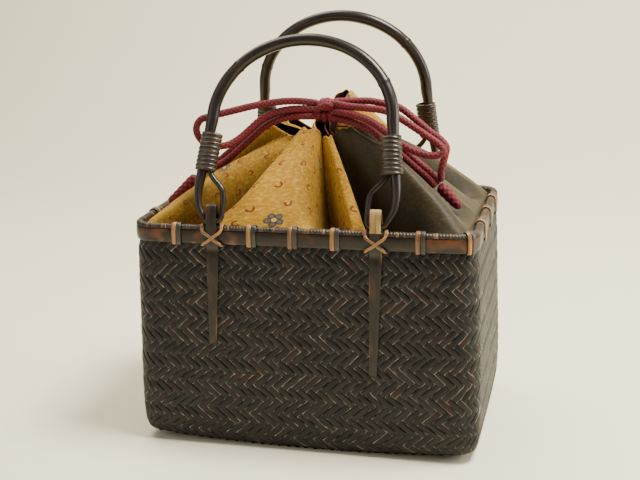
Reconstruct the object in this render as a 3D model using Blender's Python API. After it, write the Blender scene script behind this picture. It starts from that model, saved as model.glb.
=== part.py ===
"""Plaited bamboo handbag: a twill basket with a bound rim, two swing handles and a gathered pouch.

Metres, +Z up. The origin is on the floor under the middle of the basket, and the front faces -Y.
"""
import math
from collections import namedtuple

import bmesh
import bpy
from mathutils import Vector

GAP = 0.0003                 # clearance between neighbouring pieces

# Basket
RIM_WIDTH = 0.285            # over the outer band, left to right
RIM_DEPTH = 0.178            # over the outer band, front to back
RIM_HEIGHT = 0.1913          # floor to the top of the rim roll
RIM_CORNER = 0.020           # corner radius of the outer band
WALL = 0.0026                # plaited wall, two layers of split bamboo
FLOOR_THICK = 0.0030
FLOOR_LIFT = 0.0055          # how far the bottom corners stand off the floor
FLOOR_FLAT = 0.62            # share of the bottom that rests flat

# Rim
BAND_HEIGHT = 0.0115
BAND_OUTER_THICK = 0.0022
BAND_INNER_THICK = 0.0020
ROLL_HEIGHT = 0.0035
ROLL_WIDTH = 0.0066
TIE_THICK = 0.0010
TIE_WIDTH = 0.0075
TIE_TURN_IN = 0.0011         # how far a tie's feet turn in under the bands
TIE_CORNER_TURN = math.radians(42)
TIES_FRONT = (-0.1010, -0.0378, -0.0039, 0.0306, 0.0982)
TIES_BACK = (-0.1040, -0.0330, 0.0020, 0.0360, 0.1000)
TIES_SIDE = (-0.0400, 0.0040, 0.0470)

# Handles
HANDLE_MIDDLE = {"front": -0.0038, "back": 0.0034}
HANDLE_LEAN = {"front": math.radians(24.0), "back": math.radians(7.4)}
PIVOT_RISE = 0.0034          # eye bar centre above the roll
PIVOT_INSET = 0.0035         # eye bar centre inside the outer band face
BAR_HALF_SPACING = 0.0668    # handle middle to the middle of each eye bar
ARCH_HALF_WIDTH = BAR_HALF_SPACING + 0.0078    # to the rod's centre line
ARCH_RISE = 0.0677
ARCH_SPRING = 0.0830         # height above the pivot where the arch begins
ROD_RADIUS = 0.0050
ROD_SIDES = 10
ARCH_STEPS = 13
LASH_TOP = 0.0725
LASH_FOOT = 0.0410
LASH_THICK = 0.0011
LASH_RIDGE = 0.0005
LASH_TURNS = 3
LASH_SIDES = 12
LASHED_ROD_RADIUS = 0.0042
TAIL_RADIUS = 0.0022
LEG_SPLAY = 0.0047           # how far a leg moves outward from the arch to the eye

# Straps that hold the eyes, and the crossed ties over them
STRAP_THICK = 0.0012
STRAP_LOOP_WIDTH = 0.0086
STRAP_TOP_WIDTH = 0.0105
STRAP_FOOT_WIDTH = 0.0066
STRAP_LOOP_HEIGHT = 0.0135   # top of the loop above the eye bar's centre
STRAP_DROP = {"front_left": 0.0830, "front_right": 0.1030, "back_left": 0.0900, "back_right": 0.0960}
STRAP_SWAY = -0.0030         # the lower ends stand a little to the left
STRAP_INNER_DROP = 0.0180
CROSS_HALF_SPAN = 0.0082
CROSS_WIDTH = 0.0026
CROSS_THICK = 0.0010

# Pouch
CLOTH = 0.0013
POUCH_SKIRT = 0.0280         # how far the cloth hangs inside the rim
NECK_VALLEY_REACH = 0.0125
NECK_VALLEY_DROP = 0.0080
VALLEY_DROP_WAY = 12.0       # how far the inner face of a valley is set straight down, not square

# Drawstring
CORD_RADIUS = 0.0025
CORD_STEP = 0.0100
THREAD_RADIUS = 0.0008
THREAD_STEP = 0.0040
KNOT_CENTRE = Vector((0.0062, -0.0100, 0.2730))
KNOT_HALF = Vector((0.0085, 0.0090, 0.0112))
KNOT_SIDES = 12

BAND_TOP = RIM_HEIGHT - ROLL_HEIGHT - GAP
BAND_FOOT = BAND_TOP - BAND_HEIGHT
WALL_INSET = BAND_OUTER_THICK + GAP
INNER_BAND_INSET = WALL_INSET + WALL + GAP
LINING_INSET = INNER_BAND_INSET + BAND_INNER_THICK + GAP + max(TIE_THICK, STRAP_THICK) + GAP
PIVOT_Y = RIM_DEPTH / 2 - PIVOT_INSET
PIVOT_Z = RIM_HEIGHT + PIVOT_RISE

# Basket sections from the floor up: height as a share of the wall's top, and the width, depth and
# corner radius there as shares of the same sizes at the rim
Section = namedtuple("Section", "height width depth corner")
BASKET_SECTIONS = (
    Section(0.000, 0.966, 0.940, 0.52),
    Section(0.016, 0.998, 0.998, 0.62),
    Section(0.050, 1.018, 1.030, 0.74),
    Section(0.130, 1.029, 1.049, 0.86),
    Section(0.270, 1.032, 1.054, 0.98),
    Section(0.450, 1.029, 1.048, 1.10),
    Section(0.830, 1.017, 1.028, 1.14),
    Section(0.908, 1.010, 1.015, 1.04),
    Section(0.935, 1.000, 1.000, 1.00),
    Section(1.000, 1.000, 1.000, 1.00),
)

# Eye of a handle, from the tail that ends under the lashing round to the thick leg: place across
# and up from the middle of the eye bar, and the rod's radius there
EyePoint = namedtuple("EyePoint", "across up radius")
EYE_POINTS = (
    EyePoint(-0.0012, 0.0335, 0.00225),
    EyePoint(-0.0058, 0.0255, 0.00235),
    EyePoint(-0.0072, 0.0185, 0.00235),
    EyePoint(-0.0074, 0.0110, 0.00225),
    EyePoint(-0.0073, 0.0052, 0.00215),
    EyePoint(-0.0066, 0.0017, 0.00215),
    EyePoint(-0.0047, 0.0001, 0.00215),
    EyePoint(0.0000, 0.0000, 0.00215),
    EyePoint(0.0049, 0.0001, 0.00215),
    EyePoint(0.0070, 0.0014, 0.00220),
    EyePoint(0.0088, 0.0045, 0.00230),
    EyePoint(0.0112, 0.0085, 0.00250),
    EyePoint(0.0133, 0.0135, 0.00275),
    EyePoint(0.0142, 0.0200, 0.00310),
    EyePoint(0.0141, 0.0280, 0.00360),
    EyePoint(0.0133, 0.0350, 0.00395),
)

# Folds of the pouch, anticlockwise from the front: where each begins and has its crest on the rim
# (shares of the way round from the front middle), the angle, reach and height of its end at the
# neck, how far its crest bulges and its valley dips, how flat it stays before its edge, and its cloth
Fold = namedtuple("Fold", "name start crest angle reach height bulge dip edge cloth")
POUCH_FOLDS = (
    Fold("narrow_front", 0.040, 0.058, -68, 0.0270, 0.2540, 0.000, 0.016, 4, "print"),
    Fold("plain_front", 0.076, 0.152, -31, 0.0330, 0.2600, 0.009, 0.020, 5, "plain"),
    Fold("plain_side", 0.200, 0.250, 0, 0.0360, 0.2600, 0.001, 0.018, 3, "plain"),
    Fold("plain_back", 0.300, 0.336, 25, 0.0340, 0.2590, 0.006, 0.016, 3, "plain"),
    Fold("standing_back", 0.365, 0.400, 52, 0.0300, 0.2850, 0.004, 0.016, 3, "print"),
    Fold("wide_back", 0.440, 0.515, 95, 0.0290, 0.2600, 0.004, 0.018, 3, "print"),
    Fold("corner_back", 0.590, 0.650, 145, 0.0400, 0.2600, 0.006, 0.018, 3, "print"),
    Fold("ridge_left", 0.700, 0.755, 180, 0.0480, 0.2630, 0.005, 0.018, 3, "print"),
    Fold("roll_left", 0.805, 0.843, 209, 0.0310, 0.2520, 0.002, 0.020, 4, "print"),
    Fold("wide_front", 0.879, 0.958, 265, 0.0250, 0.2600, 0.004, 0.018, 5, "print"),
)
FOLD_COLUMNS = (-1.0, -0.88, -0.60, 0.0, 0.60, 0.88)
FOLD_ROWS = (0.0, 0.12, 0.30, 0.50, 0.70, 0.86, 1.0)
SEAM_HALF_GAP = 0.0003

# Chosen points of every cord, from its first end to its last
CORD_ROUTES = {
    "cord_bow_left": (
        (-0.0015, -0.0124, 0.2793), (-0.0217, -0.0180, 0.2815), (-0.0470, -0.0260, 0.2792),
        (-0.0671, -0.0340, 0.2752), (-0.0827, -0.0400, 0.2718), (-0.0923, -0.0420, 0.2687),
        (-0.0954, -0.0440, 0.2623), (-0.0934, -0.0450, 0.2552), (-0.0879, -0.0450, 0.2499),
        (-0.0770, -0.0430, 0.2474), (-0.0689, -0.0400, 0.2484), (-0.0616, -0.0350, 0.2525),
        (-0.0542, -0.0300, 0.2590), (-0.0470, -0.0260, 0.2655), (-0.0380, -0.0225, 0.2710),
        (-0.0217, -0.0180, 0.2745), (-0.0018, -0.0141, 0.2742)),
    "cord_bow_right": (
        (0.0143, -0.0130, 0.2787), (0.0291, -0.0170, 0.2773), (0.0453, -0.0220, 0.2768),
        (0.0605, -0.0270, 0.2755), (0.0722, -0.0300, 0.2706), (0.0850, -0.0320, 0.2631),
        (0.0972, -0.0330, 0.2554), (0.1050, -0.0345, 0.2503), (0.1086, -0.0365, 0.2460),
        (0.1050, -0.0380, 0.2428), (0.0984, -0.0385, 0.2423), (0.0891, -0.0385, 0.2443),
        (0.0799, -0.0375, 0.2480), (0.0715, -0.0350, 0.2525), (0.0620, -0.0320, 0.2590),
        (0.0472, -0.0270, 0.2670), (0.0307, -0.0200, 0.2715), (0.0140, -0.0143, 0.2726)),
    "cord_tail_left_front": (
        (-0.0014, -0.0158, 0.2689), (-0.0231, -0.0175, 0.2680), (-0.0400, -0.0190, 0.2625),
        (-0.0540, -0.0215, 0.2515), (-0.0670, -0.0250, 0.2400), (-0.0768, -0.0275, 0.2320),
        (-0.0855, -0.0300, 0.2275), (-0.0943, -0.0312, 0.2240), (-0.0996, -0.0339, 0.2191)),
    "cord_tail_left_back": (
        (-0.0027, -0.0094, 0.2716), (-0.0231, -0.0110, 0.2722), (-0.0400, -0.0130, 0.2682),
        (-0.0540, -0.0165, 0.2572), (-0.0670, -0.0200, 0.2455), (-0.0768, -0.0230, 0.2370),
        (-0.0870, -0.0245, 0.2290), (-0.0970, -0.0260, 0.2242), (-0.1023, -0.0290, 0.2191)),
    "cord_tail_right_over": (
        (0.0142, -0.0072, 0.2794), (0.0273, -0.0060, 0.2800), (0.0421, -0.0045, 0.2802),
        (0.0547, -0.0045, 0.2782), (0.0671, -0.0060, 0.2757), (0.0814, -0.0100, 0.2666),
        (0.0951, -0.0160, 0.2571), (0.1044, -0.0215, 0.2519), (0.1092, -0.0250, 0.2465),
        (0.1085, -0.0270, 0.2400), (0.1068, -0.0285, 0.2330), (0.1055, -0.0292, 0.2265),
        (0.1056, -0.0292, 0.2189)),
    "cord_tail_right_front": (
        (0.0136, -0.0139, 0.2672), (0.0306, -0.0180, 0.2645), (0.0468, -0.0220, 0.2590),
        (0.0598, -0.0250, 0.2500), (0.0715, -0.0270, 0.2410), (0.0840, -0.0290, 0.2305),
        (0.0940, -0.0302, 0.2225), (0.1015, -0.0302, 0.2147)),
    "cord_tail_right_back": (
        (0.0153, -0.0084, 0.2690), (0.0306, -0.0115, 0.2690), (0.0468, -0.0165, 0.2650),
        (0.0598, -0.0200, 0.2560), (0.0715, -0.0220, 0.2465), (0.0840, -0.0240, 0.2352),
        (0.0960, -0.0244, 0.2255), (0.1033, -0.0246, 0.2161)),
}

# Thread loops that hold the cords to the pouch: each goes down to a fold's hem and back
THREAD_ROUTES = {
    "thread_loop_narrow_fold": (
        (0.0070, -0.0150, 0.2620), (0.0080, -0.0185, 0.2590), (0.0098, -0.0210, 0.2570),
        (0.0121, -0.0234, 0.2548)),
    "thread_loop_plain_fold": (
        (0.0112, -0.0118, 0.2622), (0.0160, -0.0130, 0.2605), (0.0215, -0.0146, 0.2604),
        (0.0273, -0.0167, 0.2608)),
}

# Knotted cord ends: the axis from the broad end to the narrow one, and the radius along it
EndKnot = namedtuple("EndKnot", "start finish")
END_KNOTS = {
    "end_knot_left": EndKnot(Vector((-0.1012, -0.0316, 0.2188)), Vector((-0.1235, -0.0440, 0.1975))),
    "end_knot_right": EndKnot(Vector((0.1040, -0.0276, 0.2162)), Vector((0.1215, -0.0300, 0.1978))),
}
KnotSection = namedtuple("KnotSection", "along radius")
KNOT_SECTIONS = (
    KnotSection(0.00, 0.0032), KnotSection(0.06, 0.0051), KnotSection(0.28, 0.0056),
    KnotSection(0.55, 0.0050), KnotSection(0.85, 0.0042), KnotSection(1.00, 0.0032),
)


def clear_scene():
    for item in list(bpy.data.objects):
        bpy.data.objects.remove(item, do_unlink=True)


def make_material(name, colour, roughness, metallic=0.0):
    material = bpy.data.materials.new(name)
    material.use_nodes = True
    shader = material.node_tree.nodes["Principled BSDF"]
    shader.inputs["Base Color"].default_value = (*colour, 1.0)
    shader.inputs["Roughness"].default_value = roughness
    shader.inputs["Metallic"].default_value = metallic
    return material


def add_object(name, bm, material, origin=Vector((0, 0, 0)), parent=None, smooth=True):
    """Finish a mesh as a named object whose own origin stands at the given point."""
    bmesh.ops.remove_doubles(bm, verts=bm.verts, dist=1e-6)
    bmesh.ops.recalc_face_normals(bm, faces=bm.faces)
    bmesh.ops.translate(bm, verts=bm.verts, vec=-origin)
    mesh = bpy.data.meshes.new(name)
    bm.to_mesh(mesh)
    bm.free()
    if smooth:
        mesh.shade_smooth()
        mesh.set_sharp_from_angle(angle=math.radians(40))
    mesh.materials.append(material)
    item = bpy.data.objects.new(name, mesh)
    bpy.context.scene.collection.objects.link(item)
    if parent:
        item.parent = parent
        item.location = origin - parent.location
    else:
        item.location = origin
    return item


def add_pivot(name, location):
    pivot = bpy.data.objects.new(name, None)
    pivot.location = location
    bpy.context.scene.collection.objects.link(pivot)
    return pivot


def bridge(bm, rings, closed=False, cap=True):
    """Join rings of equal count into one skin, with its two ends joined or capped."""
    loops = [[bm.verts.new(point) for point in ring] for ring in rings]
    pairs = list(zip(loops, loops[1:]))
    if closed:
        pairs.append((loops[-1], loops[0]))
    for first, second in pairs:
        for i in range(len(first)):
            j = (i + 1) % len(first)
            bm.faces.new((first[i], first[j], second[j], second[i]))
    if cap and not closed:
        bm.faces.new(loops[0])
        bm.faces.new(loops[-1])


def smooth_route(points, step):
    """Evenly spaced points on a centripetal Catmull-Rom curve through the chosen points."""
    chosen = [Vector(p) for p in points]
    chosen = [2 * chosen[0] - chosen[1]] + chosen + [2 * chosen[-1] - chosen[-2]]
    fine = []
    for p0, p1, p2, p3 in zip(chosen, chosen[1:], chosen[2:], chosen[3:]):
        t0 = 0.0
        t1 = t0 + math.sqrt((p1 - p0).length)
        t2 = t1 + math.sqrt((p2 - p1).length)
        t3 = t2 + math.sqrt((p3 - p2).length)
        for i in range(16):
            t = t1 + (t2 - t1) * i / 16
            a1 = p0.lerp(p1, (t - t0) / (t1 - t0))
            a2 = p1.lerp(p2, (t - t1) / (t2 - t1))
            a3 = p2.lerp(p3, (t - t2) / (t3 - t2))
            b1 = a1.lerp(a2, (t - t0) / (t2 - t0))
            b2 = a2.lerp(a3, (t - t1) / (t3 - t1))
            fine.append(b1.lerp(b2, (t - t1) / (t2 - t1)))
    fine.append(chosen[-2])
    lengths = [0.0]
    for a, b in zip(fine, fine[1:]):
        lengths.append(lengths[-1] + (b - a).length)
    count = max(2, round(lengths[-1] / step))
    route = []
    k = 0
    for i in range(count + 1):
        target = lengths[-1] * i / count
        while k < len(fine) - 2 and lengths[k + 1] < target:
            k += 1
        share = (target - lengths[k]) / (lengths[k + 1] - lengths[k])
        route.append(fine[k].lerp(fine[k + 1], min(share, 1.0)))
    return route


# Rounded rectangles: the basket's plan

CORNER_STEPS = 4
LONG_SIDE_STEPS = 4
SHORT_SIDE_STEPS = 3


def plan_ring(half_w, half_d, corner, height):
    """Anticlockwise ring of a rounded rectangle, starting at the front right corner."""
    corners = ((1, -1, -90, SHORT_SIDE_STEPS), (1, 1, 0, LONG_SIDE_STEPS),
               (-1, 1, 90, SHORT_SIDE_STEPS), (-1, -1, 180, LONG_SIDE_STEPS))
    ring = []
    for k, (sx, sy, start, side_steps) in enumerate(corners):
        centre = Vector((sx * (half_w - corner), sy * (half_d - corner), height))
        for i in range(CORNER_STEPS + 1):
            turn = math.radians(start + 90 * i / CORNER_STEPS)
            ring.append(centre + corner * Vector((math.cos(turn), math.sin(turn), 0)))
        nx, ny, next_start, _ = corners[(k + 1) % 4]
        turn = math.radians(next_start)
        target = Vector((nx * (half_w - corner), ny * (half_d - corner), height))
        target += corner * Vector((math.cos(turn), math.sin(turn), 0))
        last = ring[-1].copy()
        ring += [last.lerp(target, i / side_steps) for i in range(1, side_steps)]
    return ring


def rim_place(share, inset):
    """Point and outward direction on the rim's plan, a share of the way round from the front."""
    half_w, half_d = RIM_WIDTH / 2 - inset, RIM_DEPTH / 2 - inset
    corner = RIM_CORNER - inset
    flat_w, flat_d, arc = half_w - corner, half_d - corner, math.pi * corner / 2
    runs = ((flat_w, Vector((0, -half_d, 0)), Vector((1, 0, 0))),
            (arc, Vector((flat_w, -flat_d, 0)), -90),
            (2 * flat_d, Vector((half_w, -flat_d, 0)), Vector((0, 1, 0))),
            (arc, Vector((flat_w, flat_d, 0)), 0),
            (2 * flat_w, Vector((flat_w, half_d, 0)), Vector((-1, 0, 0))),
            (arc, Vector((-flat_w, flat_d, 0)), 90),
            (2 * flat_d, Vector((-half_w, flat_d, 0)), Vector((0, -1, 0))),
            (arc, Vector((-flat_w, -flat_d, 0)), 180),
            (flat_w, Vector((-flat_w, -half_d, 0)), Vector((1, 0, 0))))
    left = (share % 1.0) * sum(run[0] for run in runs)
    for length, start, way in runs:
        if left <= length:
            break
        left -= length
    if isinstance(way, Vector):
        return start + way * left, Vector((way.y, -way.x, 0))
    turn = math.radians(way) + left / corner
    outward = Vector((math.cos(turn), math.sin(turn), 0))
    return start + corner * outward, outward


def section_at(height):
    """Half width and half depth of the basket's outer wall at a height above the floor."""
    share = height / BAND_TOP
    for low, high in zip(BASKET_SECTIONS, BASKET_SECTIONS[1:]):
        if share <= high.height:
            break
    t = (share - low.height) / (high.height - low.height)
    half_w = (RIM_WIDTH / 2 - WALL_INSET) * (low.width + (high.width - low.width) * t)
    half_d = (RIM_DEPTH / 2 - WALL_INSET) * (low.depth + (high.depth - low.depth) * t)
    return half_w, half_d


def section_ring(section, inset, floor_height=0.0):
    half_w = (RIM_WIDTH / 2 - WALL_INSET) * section.width - inset
    half_d = (RIM_DEPTH / 2 - WALL_INSET) * section.depth - inset
    corner = max((RIM_CORNER - WALL_INSET) * section.corner - inset, 0.004)
    ring = plan_ring(half_w, half_d, corner, floor_height + section.height * BAND_TOP)
    lift_share = max(0.0, 1 - section.height / 0.22)
    for point in ring:
        stand = abs(point.x / half_w) ** 2.2 * abs(point.y / half_d) ** 2.2
        point.z += FLOOR_LIFT * stand * lift_share
    return ring


def floor_ring(share, height):
    foot = BASKET_SECTIONS[0]
    half_w = (RIM_WIDTH / 2 - WALL_INSET) * foot.width * share
    half_d = (RIM_DEPTH / 2 - WALL_INSET) * foot.depth * share
    return plan_ring(half_w, half_d, (RIM_CORNER - WALL_INSET) * foot.corner * share, height)


def build_basket(material):
    rings = [floor_ring(FLOOR_FLAT, 0.0)]
    rings += [section_ring(section, 0.0) for section in BASKET_SECTIONS]
    rings += [section_ring(section, WALL) for section in reversed(BASKET_SECTIONS[1:])]
    rings += [floor_ring(FLOOR_FLAT, FLOOR_THICK)]
    bm = bmesh.new()
    bridge(bm, rings)
    add_object("basket_body", bm, material)


def build_hoop(name, profile, material):
    """A hoop round the rim, from a closed profile of insets and heights."""
    rings = []
    for inset, height in profile:
        rings.append(plan_ring(RIM_WIDTH / 2 - inset, RIM_DEPTH / 2 - inset, RIM_CORNER - inset, height))
    bm = bmesh.new()
    bridge(bm, rings, closed=True)
    add_object(name, bm, material)


def build_rim(band, cane):
    crown = BAND_OUTER_THICK * 0.25
    middle = BAND_FOOT + BAND_HEIGHT / 2
    build_hoop("rim_band_outer", (
        (crown, BAND_FOOT), (0.0, middle), (crown, BAND_TOP),
        (BAND_OUTER_THICK, BAND_TOP), (BAND_OUTER_THICK, BAND_FOOT)), band)
    far = INNER_BAND_INSET + BAND_INNER_THICK
    build_hoop("rim_band_inner", (
        (INNER_BAND_INSET, BAND_FOOT), (INNER_BAND_INSET, BAND_TOP), (far, BAND_TOP), (far, BAND_FOOT)), band)
    centre = far / 2
    profile = [(centre - ROLL_WIDTH / 2 * math.cos(turn), RIM_HEIGHT - ROLL_HEIGHT * (1 - math.sin(turn)))
               for turn in (math.pi * i / 6 for i in range(7))]
    build_hoop("rim_roll", profile, cane)


def over_roll(clear, turns):
    """Points of an arch that clears the roll: distance inward from the outer face, and height."""
    centre = (INNER_BAND_INSET + BAND_INNER_THICK) / 2
    return [(centre - (ROLL_WIDTH / 2 + clear) * math.cos(math.radians(turn)),
             RIM_HEIGHT - ROLL_HEIGHT + (ROLL_HEIGHT + clear) * math.sin(math.radians(turn))) for turn in turns]


def saddle_outline(thick):
    """Side view of a tie that straddles the rim, its inner and its outer line."""
    far = INNER_BAND_INSET + BAND_INNER_THICK
    foot = BAND_FOOT - GAP
    turns = (35, 75, 105, 145)
    inner = [(TIE_TURN_IN, foot), (-GAP, foot), (-GAP, BAND_TOP)]
    inner += over_roll(1.6 * GAP, turns)
    inner += [(far + GAP, BAND_TOP), (far + GAP, foot), (far - TIE_TURN_IN, foot)]
    outer = [(TIE_TURN_IN, foot - thick), (-GAP - thick, foot - thick), (-GAP - thick, BAND_TOP)]
    outer += over_roll(1.6 * GAP + thick, turns)
    outer += [(far + GAP + thick, BAND_TOP), (far + GAP + thick, foot - thick), (far - TIE_TURN_IN, foot - thick)]
    return inner, outer


def build_tie(name, slices, material):
    """A saddle over the rim, through slices given by a place on the outer face and its outward way."""
    inner, outer = saddle_outline(TIE_THICK)
    outline = inner + outer[::-1]
    bm = bmesh.new()
    bridge(bm, [[place - outward * inset + Vector((0, 0, height)) for inset, height in outline]
                for place, outward in slices])
    add_object(name, bm, material)


def straight_slices(place, outward):
    along = Vector((-outward.y, outward.x, 0)) * TIE_WIDTH / 2
    return [(place - along, outward), (place + along, outward)]


def corner_slices(side):
    """Slices of a tie on the front right corner, or the back left one."""
    centre = Vector((-side * (RIM_WIDTH / 2 - RIM_CORNER), side * (RIM_DEPTH / 2 - RIM_CORNER), 0))
    slices = []
    for step in (-1, -1 / 3, 1 / 3, 1):
        turn = TIE_CORNER_TURN + step * TIE_WIDTH / 2 / (RIM_CORNER - ROLL_WIDTH / 2)
        outward = Vector((-side * math.sin(turn), side * math.cos(turn), 0))
        slices.append((centre + outward * RIM_CORNER, outward))
    return slices


def build_ties(material):
    half_w, half_d = RIM_WIDTH / 2, RIM_DEPTH / 2
    ties = [straight_slices(Vector((x, -half_d, 0)), Vector((0, -1, 0))) for x in TIES_FRONT]
    ties += [corner_slices(side) for side in (-1, 1)]
    ties += [straight_slices(Vector((x, half_d, 0)), Vector((0, 1, 0))) for x in TIES_BACK]
    for side in (-1, 1):
        ties += [straight_slices(Vector((side * half_w, y, 0)), Vector((side, 0, 0))) for y in TIES_SIDE]
    for number, slices in enumerate(ties, 1):
        build_tie(f"rim_tie_{number:02d}", slices, material)


# Handles

def lash_line(up):
    """Centre of a leg where it is lashed, as a distance from the handle's middle."""
    share = (ARCH_SPRING - up) / (ARCH_SPRING - LASH_FOOT)
    return ARCH_HALF_WIDTH + LEG_SPLAY * share


def lash_frame():
    """Top and foot of the lashing's axis, and the direction across it, towards the tail."""
    foot = Vector((lash_line(LASH_FOOT), LASH_FOOT))
    top = Vector((lash_line(LASH_TOP), LASH_TOP))
    along = (top - foot).normalized()
    return foot, top, along, Vector((-along.y, along.x))


def handle_side():
    """Rod from the tail's end through the eye and up the leg to the arch: (across, up, radius)."""
    foot, top, along, across = lash_frame()
    beside = across * (LASHED_ROD_RADIUS + TAIL_RADIUS + 2 * GAP)
    tail_end = foot.lerp(top, 0.80) + beside
    tail_foot = foot + beside
    points = [(tail_end.x, tail_end.y, TAIL_RADIUS), (tail_foot.x, tail_foot.y, TAIL_RADIUS)]
    points += [(BAR_HALF_SPACING + p.across, p.up, p.radius) for p in EYE_POINTS]
    points += [(foot.x, foot.y, LASHED_ROD_RADIUS), (top.x, top.y, LASHED_ROD_RADIUS)]
    points += [(lash_line(0.078), 0.078, ROD_RADIUS * 0.95)]
    return points


def handle_rod():
    half = handle_side()
    arch = []
    for i in range(ARCH_STEPS + 1):
        turn = math.pi * i / ARCH_STEPS
        arch.append((ARCH_HALF_WIDTH * math.cos(turn), ARCH_SPRING + ARCH_RISE * math.sin(turn), ROD_RADIUS))
    return half + arch + [(-across, up, radius) for across, up, radius in reversed(half)]


def stand_up(where, across, up, out=0.0):
    """Point of a handle's plane in the bag's frame; out is measured square to the plane."""
    side = -1 if where == "front" else 1
    lean = HANDLE_LEAN[where]
    y = side * PIVOT_Y - side * up * math.sin(lean) + side * out * math.cos(lean)
    return Vector((HANDLE_MIDDLE[where] + across, y, PIVOT_Z + up * math.cos(lean) + out * math.sin(lean)))


def build_handle(where, pivot, material):
    path = handle_rod()
    rings = []
    for i, (across, up, radius) in enumerate(path):
        before, after = path[max(i - 1, 0)], path[min(i + 1, len(path) - 1)]
        along = Vector((after[0] - before[0], after[1] - before[1])).normalized()
        ring = []
        for k in range(ROD_SIDES):
            turn = 2 * math.pi * (k + 0.5) / ROD_SIDES
            inside = radius * math.cos(turn)
            ring.append(stand_up(where, across - along.y * inside, up + along.x * inside,
                                 radius * math.sin(turn)))
        rings.append(ring)
    bm = bmesh.new()
    bridge(bm, rings)
    add_object(f"handle_{where}", bm, material, origin=pivot.location.copy(), parent=pivot)


def build_lashing(where, side, pivot, material):
    foot, top, along, across = lash_frame()
    half_wide = LASHED_ROD_RADIUS + TAIL_RADIUS + 2 * GAP
    shift = across * (TAIL_RADIUS + GAP)
    half_thick = LASHED_ROD_RADIUS + GAP
    rings = []

    def oval(share, grow):
        centre = foot.lerp(top, share) + shift
        ring = []
        for k in range(LASH_SIDES):
            turn = 2 * math.pi * k / LASH_SIDES
            reach = (half_wide + GAP + grow) * math.cos(turn)
            point = centre + across * reach
            ring.append(stand_up(where, side * point.x, point.y, (half_thick + grow) * math.sin(turn)))
        return ring

    steps = 2 * LASH_TURNS
    for i in range(steps + 1):
        ridge = LASH_RIDGE if i % 2 else 0.0
        rings.append(oval(i / steps, LASH_THICK + ridge))
    rings += [oval(1.0, GAP), oval(0.0, GAP)]
    bm = bmesh.new()
    bridge(bm, rings, closed=True)
    name = f"lashing_{where}_{'left' if side < 0 else 'right'}"
    add_object(name, bm, material, origin=pivot.location.copy(), parent=pivot)


# Straps and crossed ties

def strap_path(drop):
    """Centre line of a strap: distance inward from the outer band face, height and width."""
    half = STRAP_THICK / 2
    far = INNER_BAND_INSET + BAND_INNER_THICK
    bar = PIVOT_INSET
    low = BAND_FOOT - GAP
    path = [(far + GAP + half, BAND_TOP - STRAP_INNER_DROP, STRAP_LOOP_WIDTH),
            (far + GAP + half, BAND_TOP, STRAP_LOOP_WIDTH),
            (far + GAP + half - 0.0004, PIVOT_Z + 0.0010, STRAP_LOOP_WIDTH),
            (bar + 0.0028, PIVOT_Z + STRAP_LOOP_HEIGHT * 0.78, STRAP_LOOP_WIDTH),
            (bar + 0.0012, PIVOT_Z + STRAP_LOOP_HEIGHT - half, STRAP_LOOP_WIDTH),
            (bar - 0.0012, PIVOT_Z + STRAP_LOOP_HEIGHT - half, STRAP_LOOP_WIDTH),
            (bar - 0.0028, PIVOT_Z + STRAP_LOOP_HEIGHT * 0.78, STRAP_LOOP_WIDTH),
            (-GAP - half + 0.0002, PIVOT_Z - 0.0010, STRAP_LOOP_WIDTH),
            (-GAP - half, BAND_TOP, STRAP_LOOP_WIDTH),
            (-GAP - half, low, STRAP_TOP_WIDTH)]
    heights = [section.height * BAND_TOP for section in reversed(BASKET_SECTIONS)]
    end = BAND_FOOT - drop
    stops = [low - 0.004] + [h for h in heights if end + 0.004 < h < low - 0.006] + [end]
    for height in stops:
        half_d = section_at(height)[1]
        share = (low - height) / drop
        width = STRAP_TOP_WIDTH + (STRAP_FOOT_WIDTH - STRAP_TOP_WIDTH) * share
        path.append((RIM_DEPTH / 2 - half_d - GAP - half, height, width))
    return path


def build_strap(name, where, side, drop, material):
    facing = -1 if where == "front" else 1
    middle = HANDLE_MIDDLE[where] + side * BAR_HALF_SPACING
    path = strap_path(drop)
    rings = []
    for i, (inset, height, width) in enumerate(path):
        before, after = path[max(i - 1, 0)], path[min(i + 1, len(path) - 1)]
        along = Vector((after[0] - before[0], after[1] - before[1])).normalized()
        off = Vector((-along.y, along.x)) * STRAP_THICK / 2
        sway = STRAP_SWAY * max(0.0, (BAND_FOOT - height) / drop)
        ring = []
        for across, sign in ((-1, -1), (1, -1), (1, 1), (-1, 1)):
            x = middle + sway + across * width / 2
            y = facing * (RIM_DEPTH / 2 - inset - sign * off.x)
            ring.append(Vector((x, y, height + sign * off.y)))
        rings.append(ring)
    bm = bmesh.new()
    bridge(bm, rings)
    add_object(name, bm, material, smooth=False)


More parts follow.
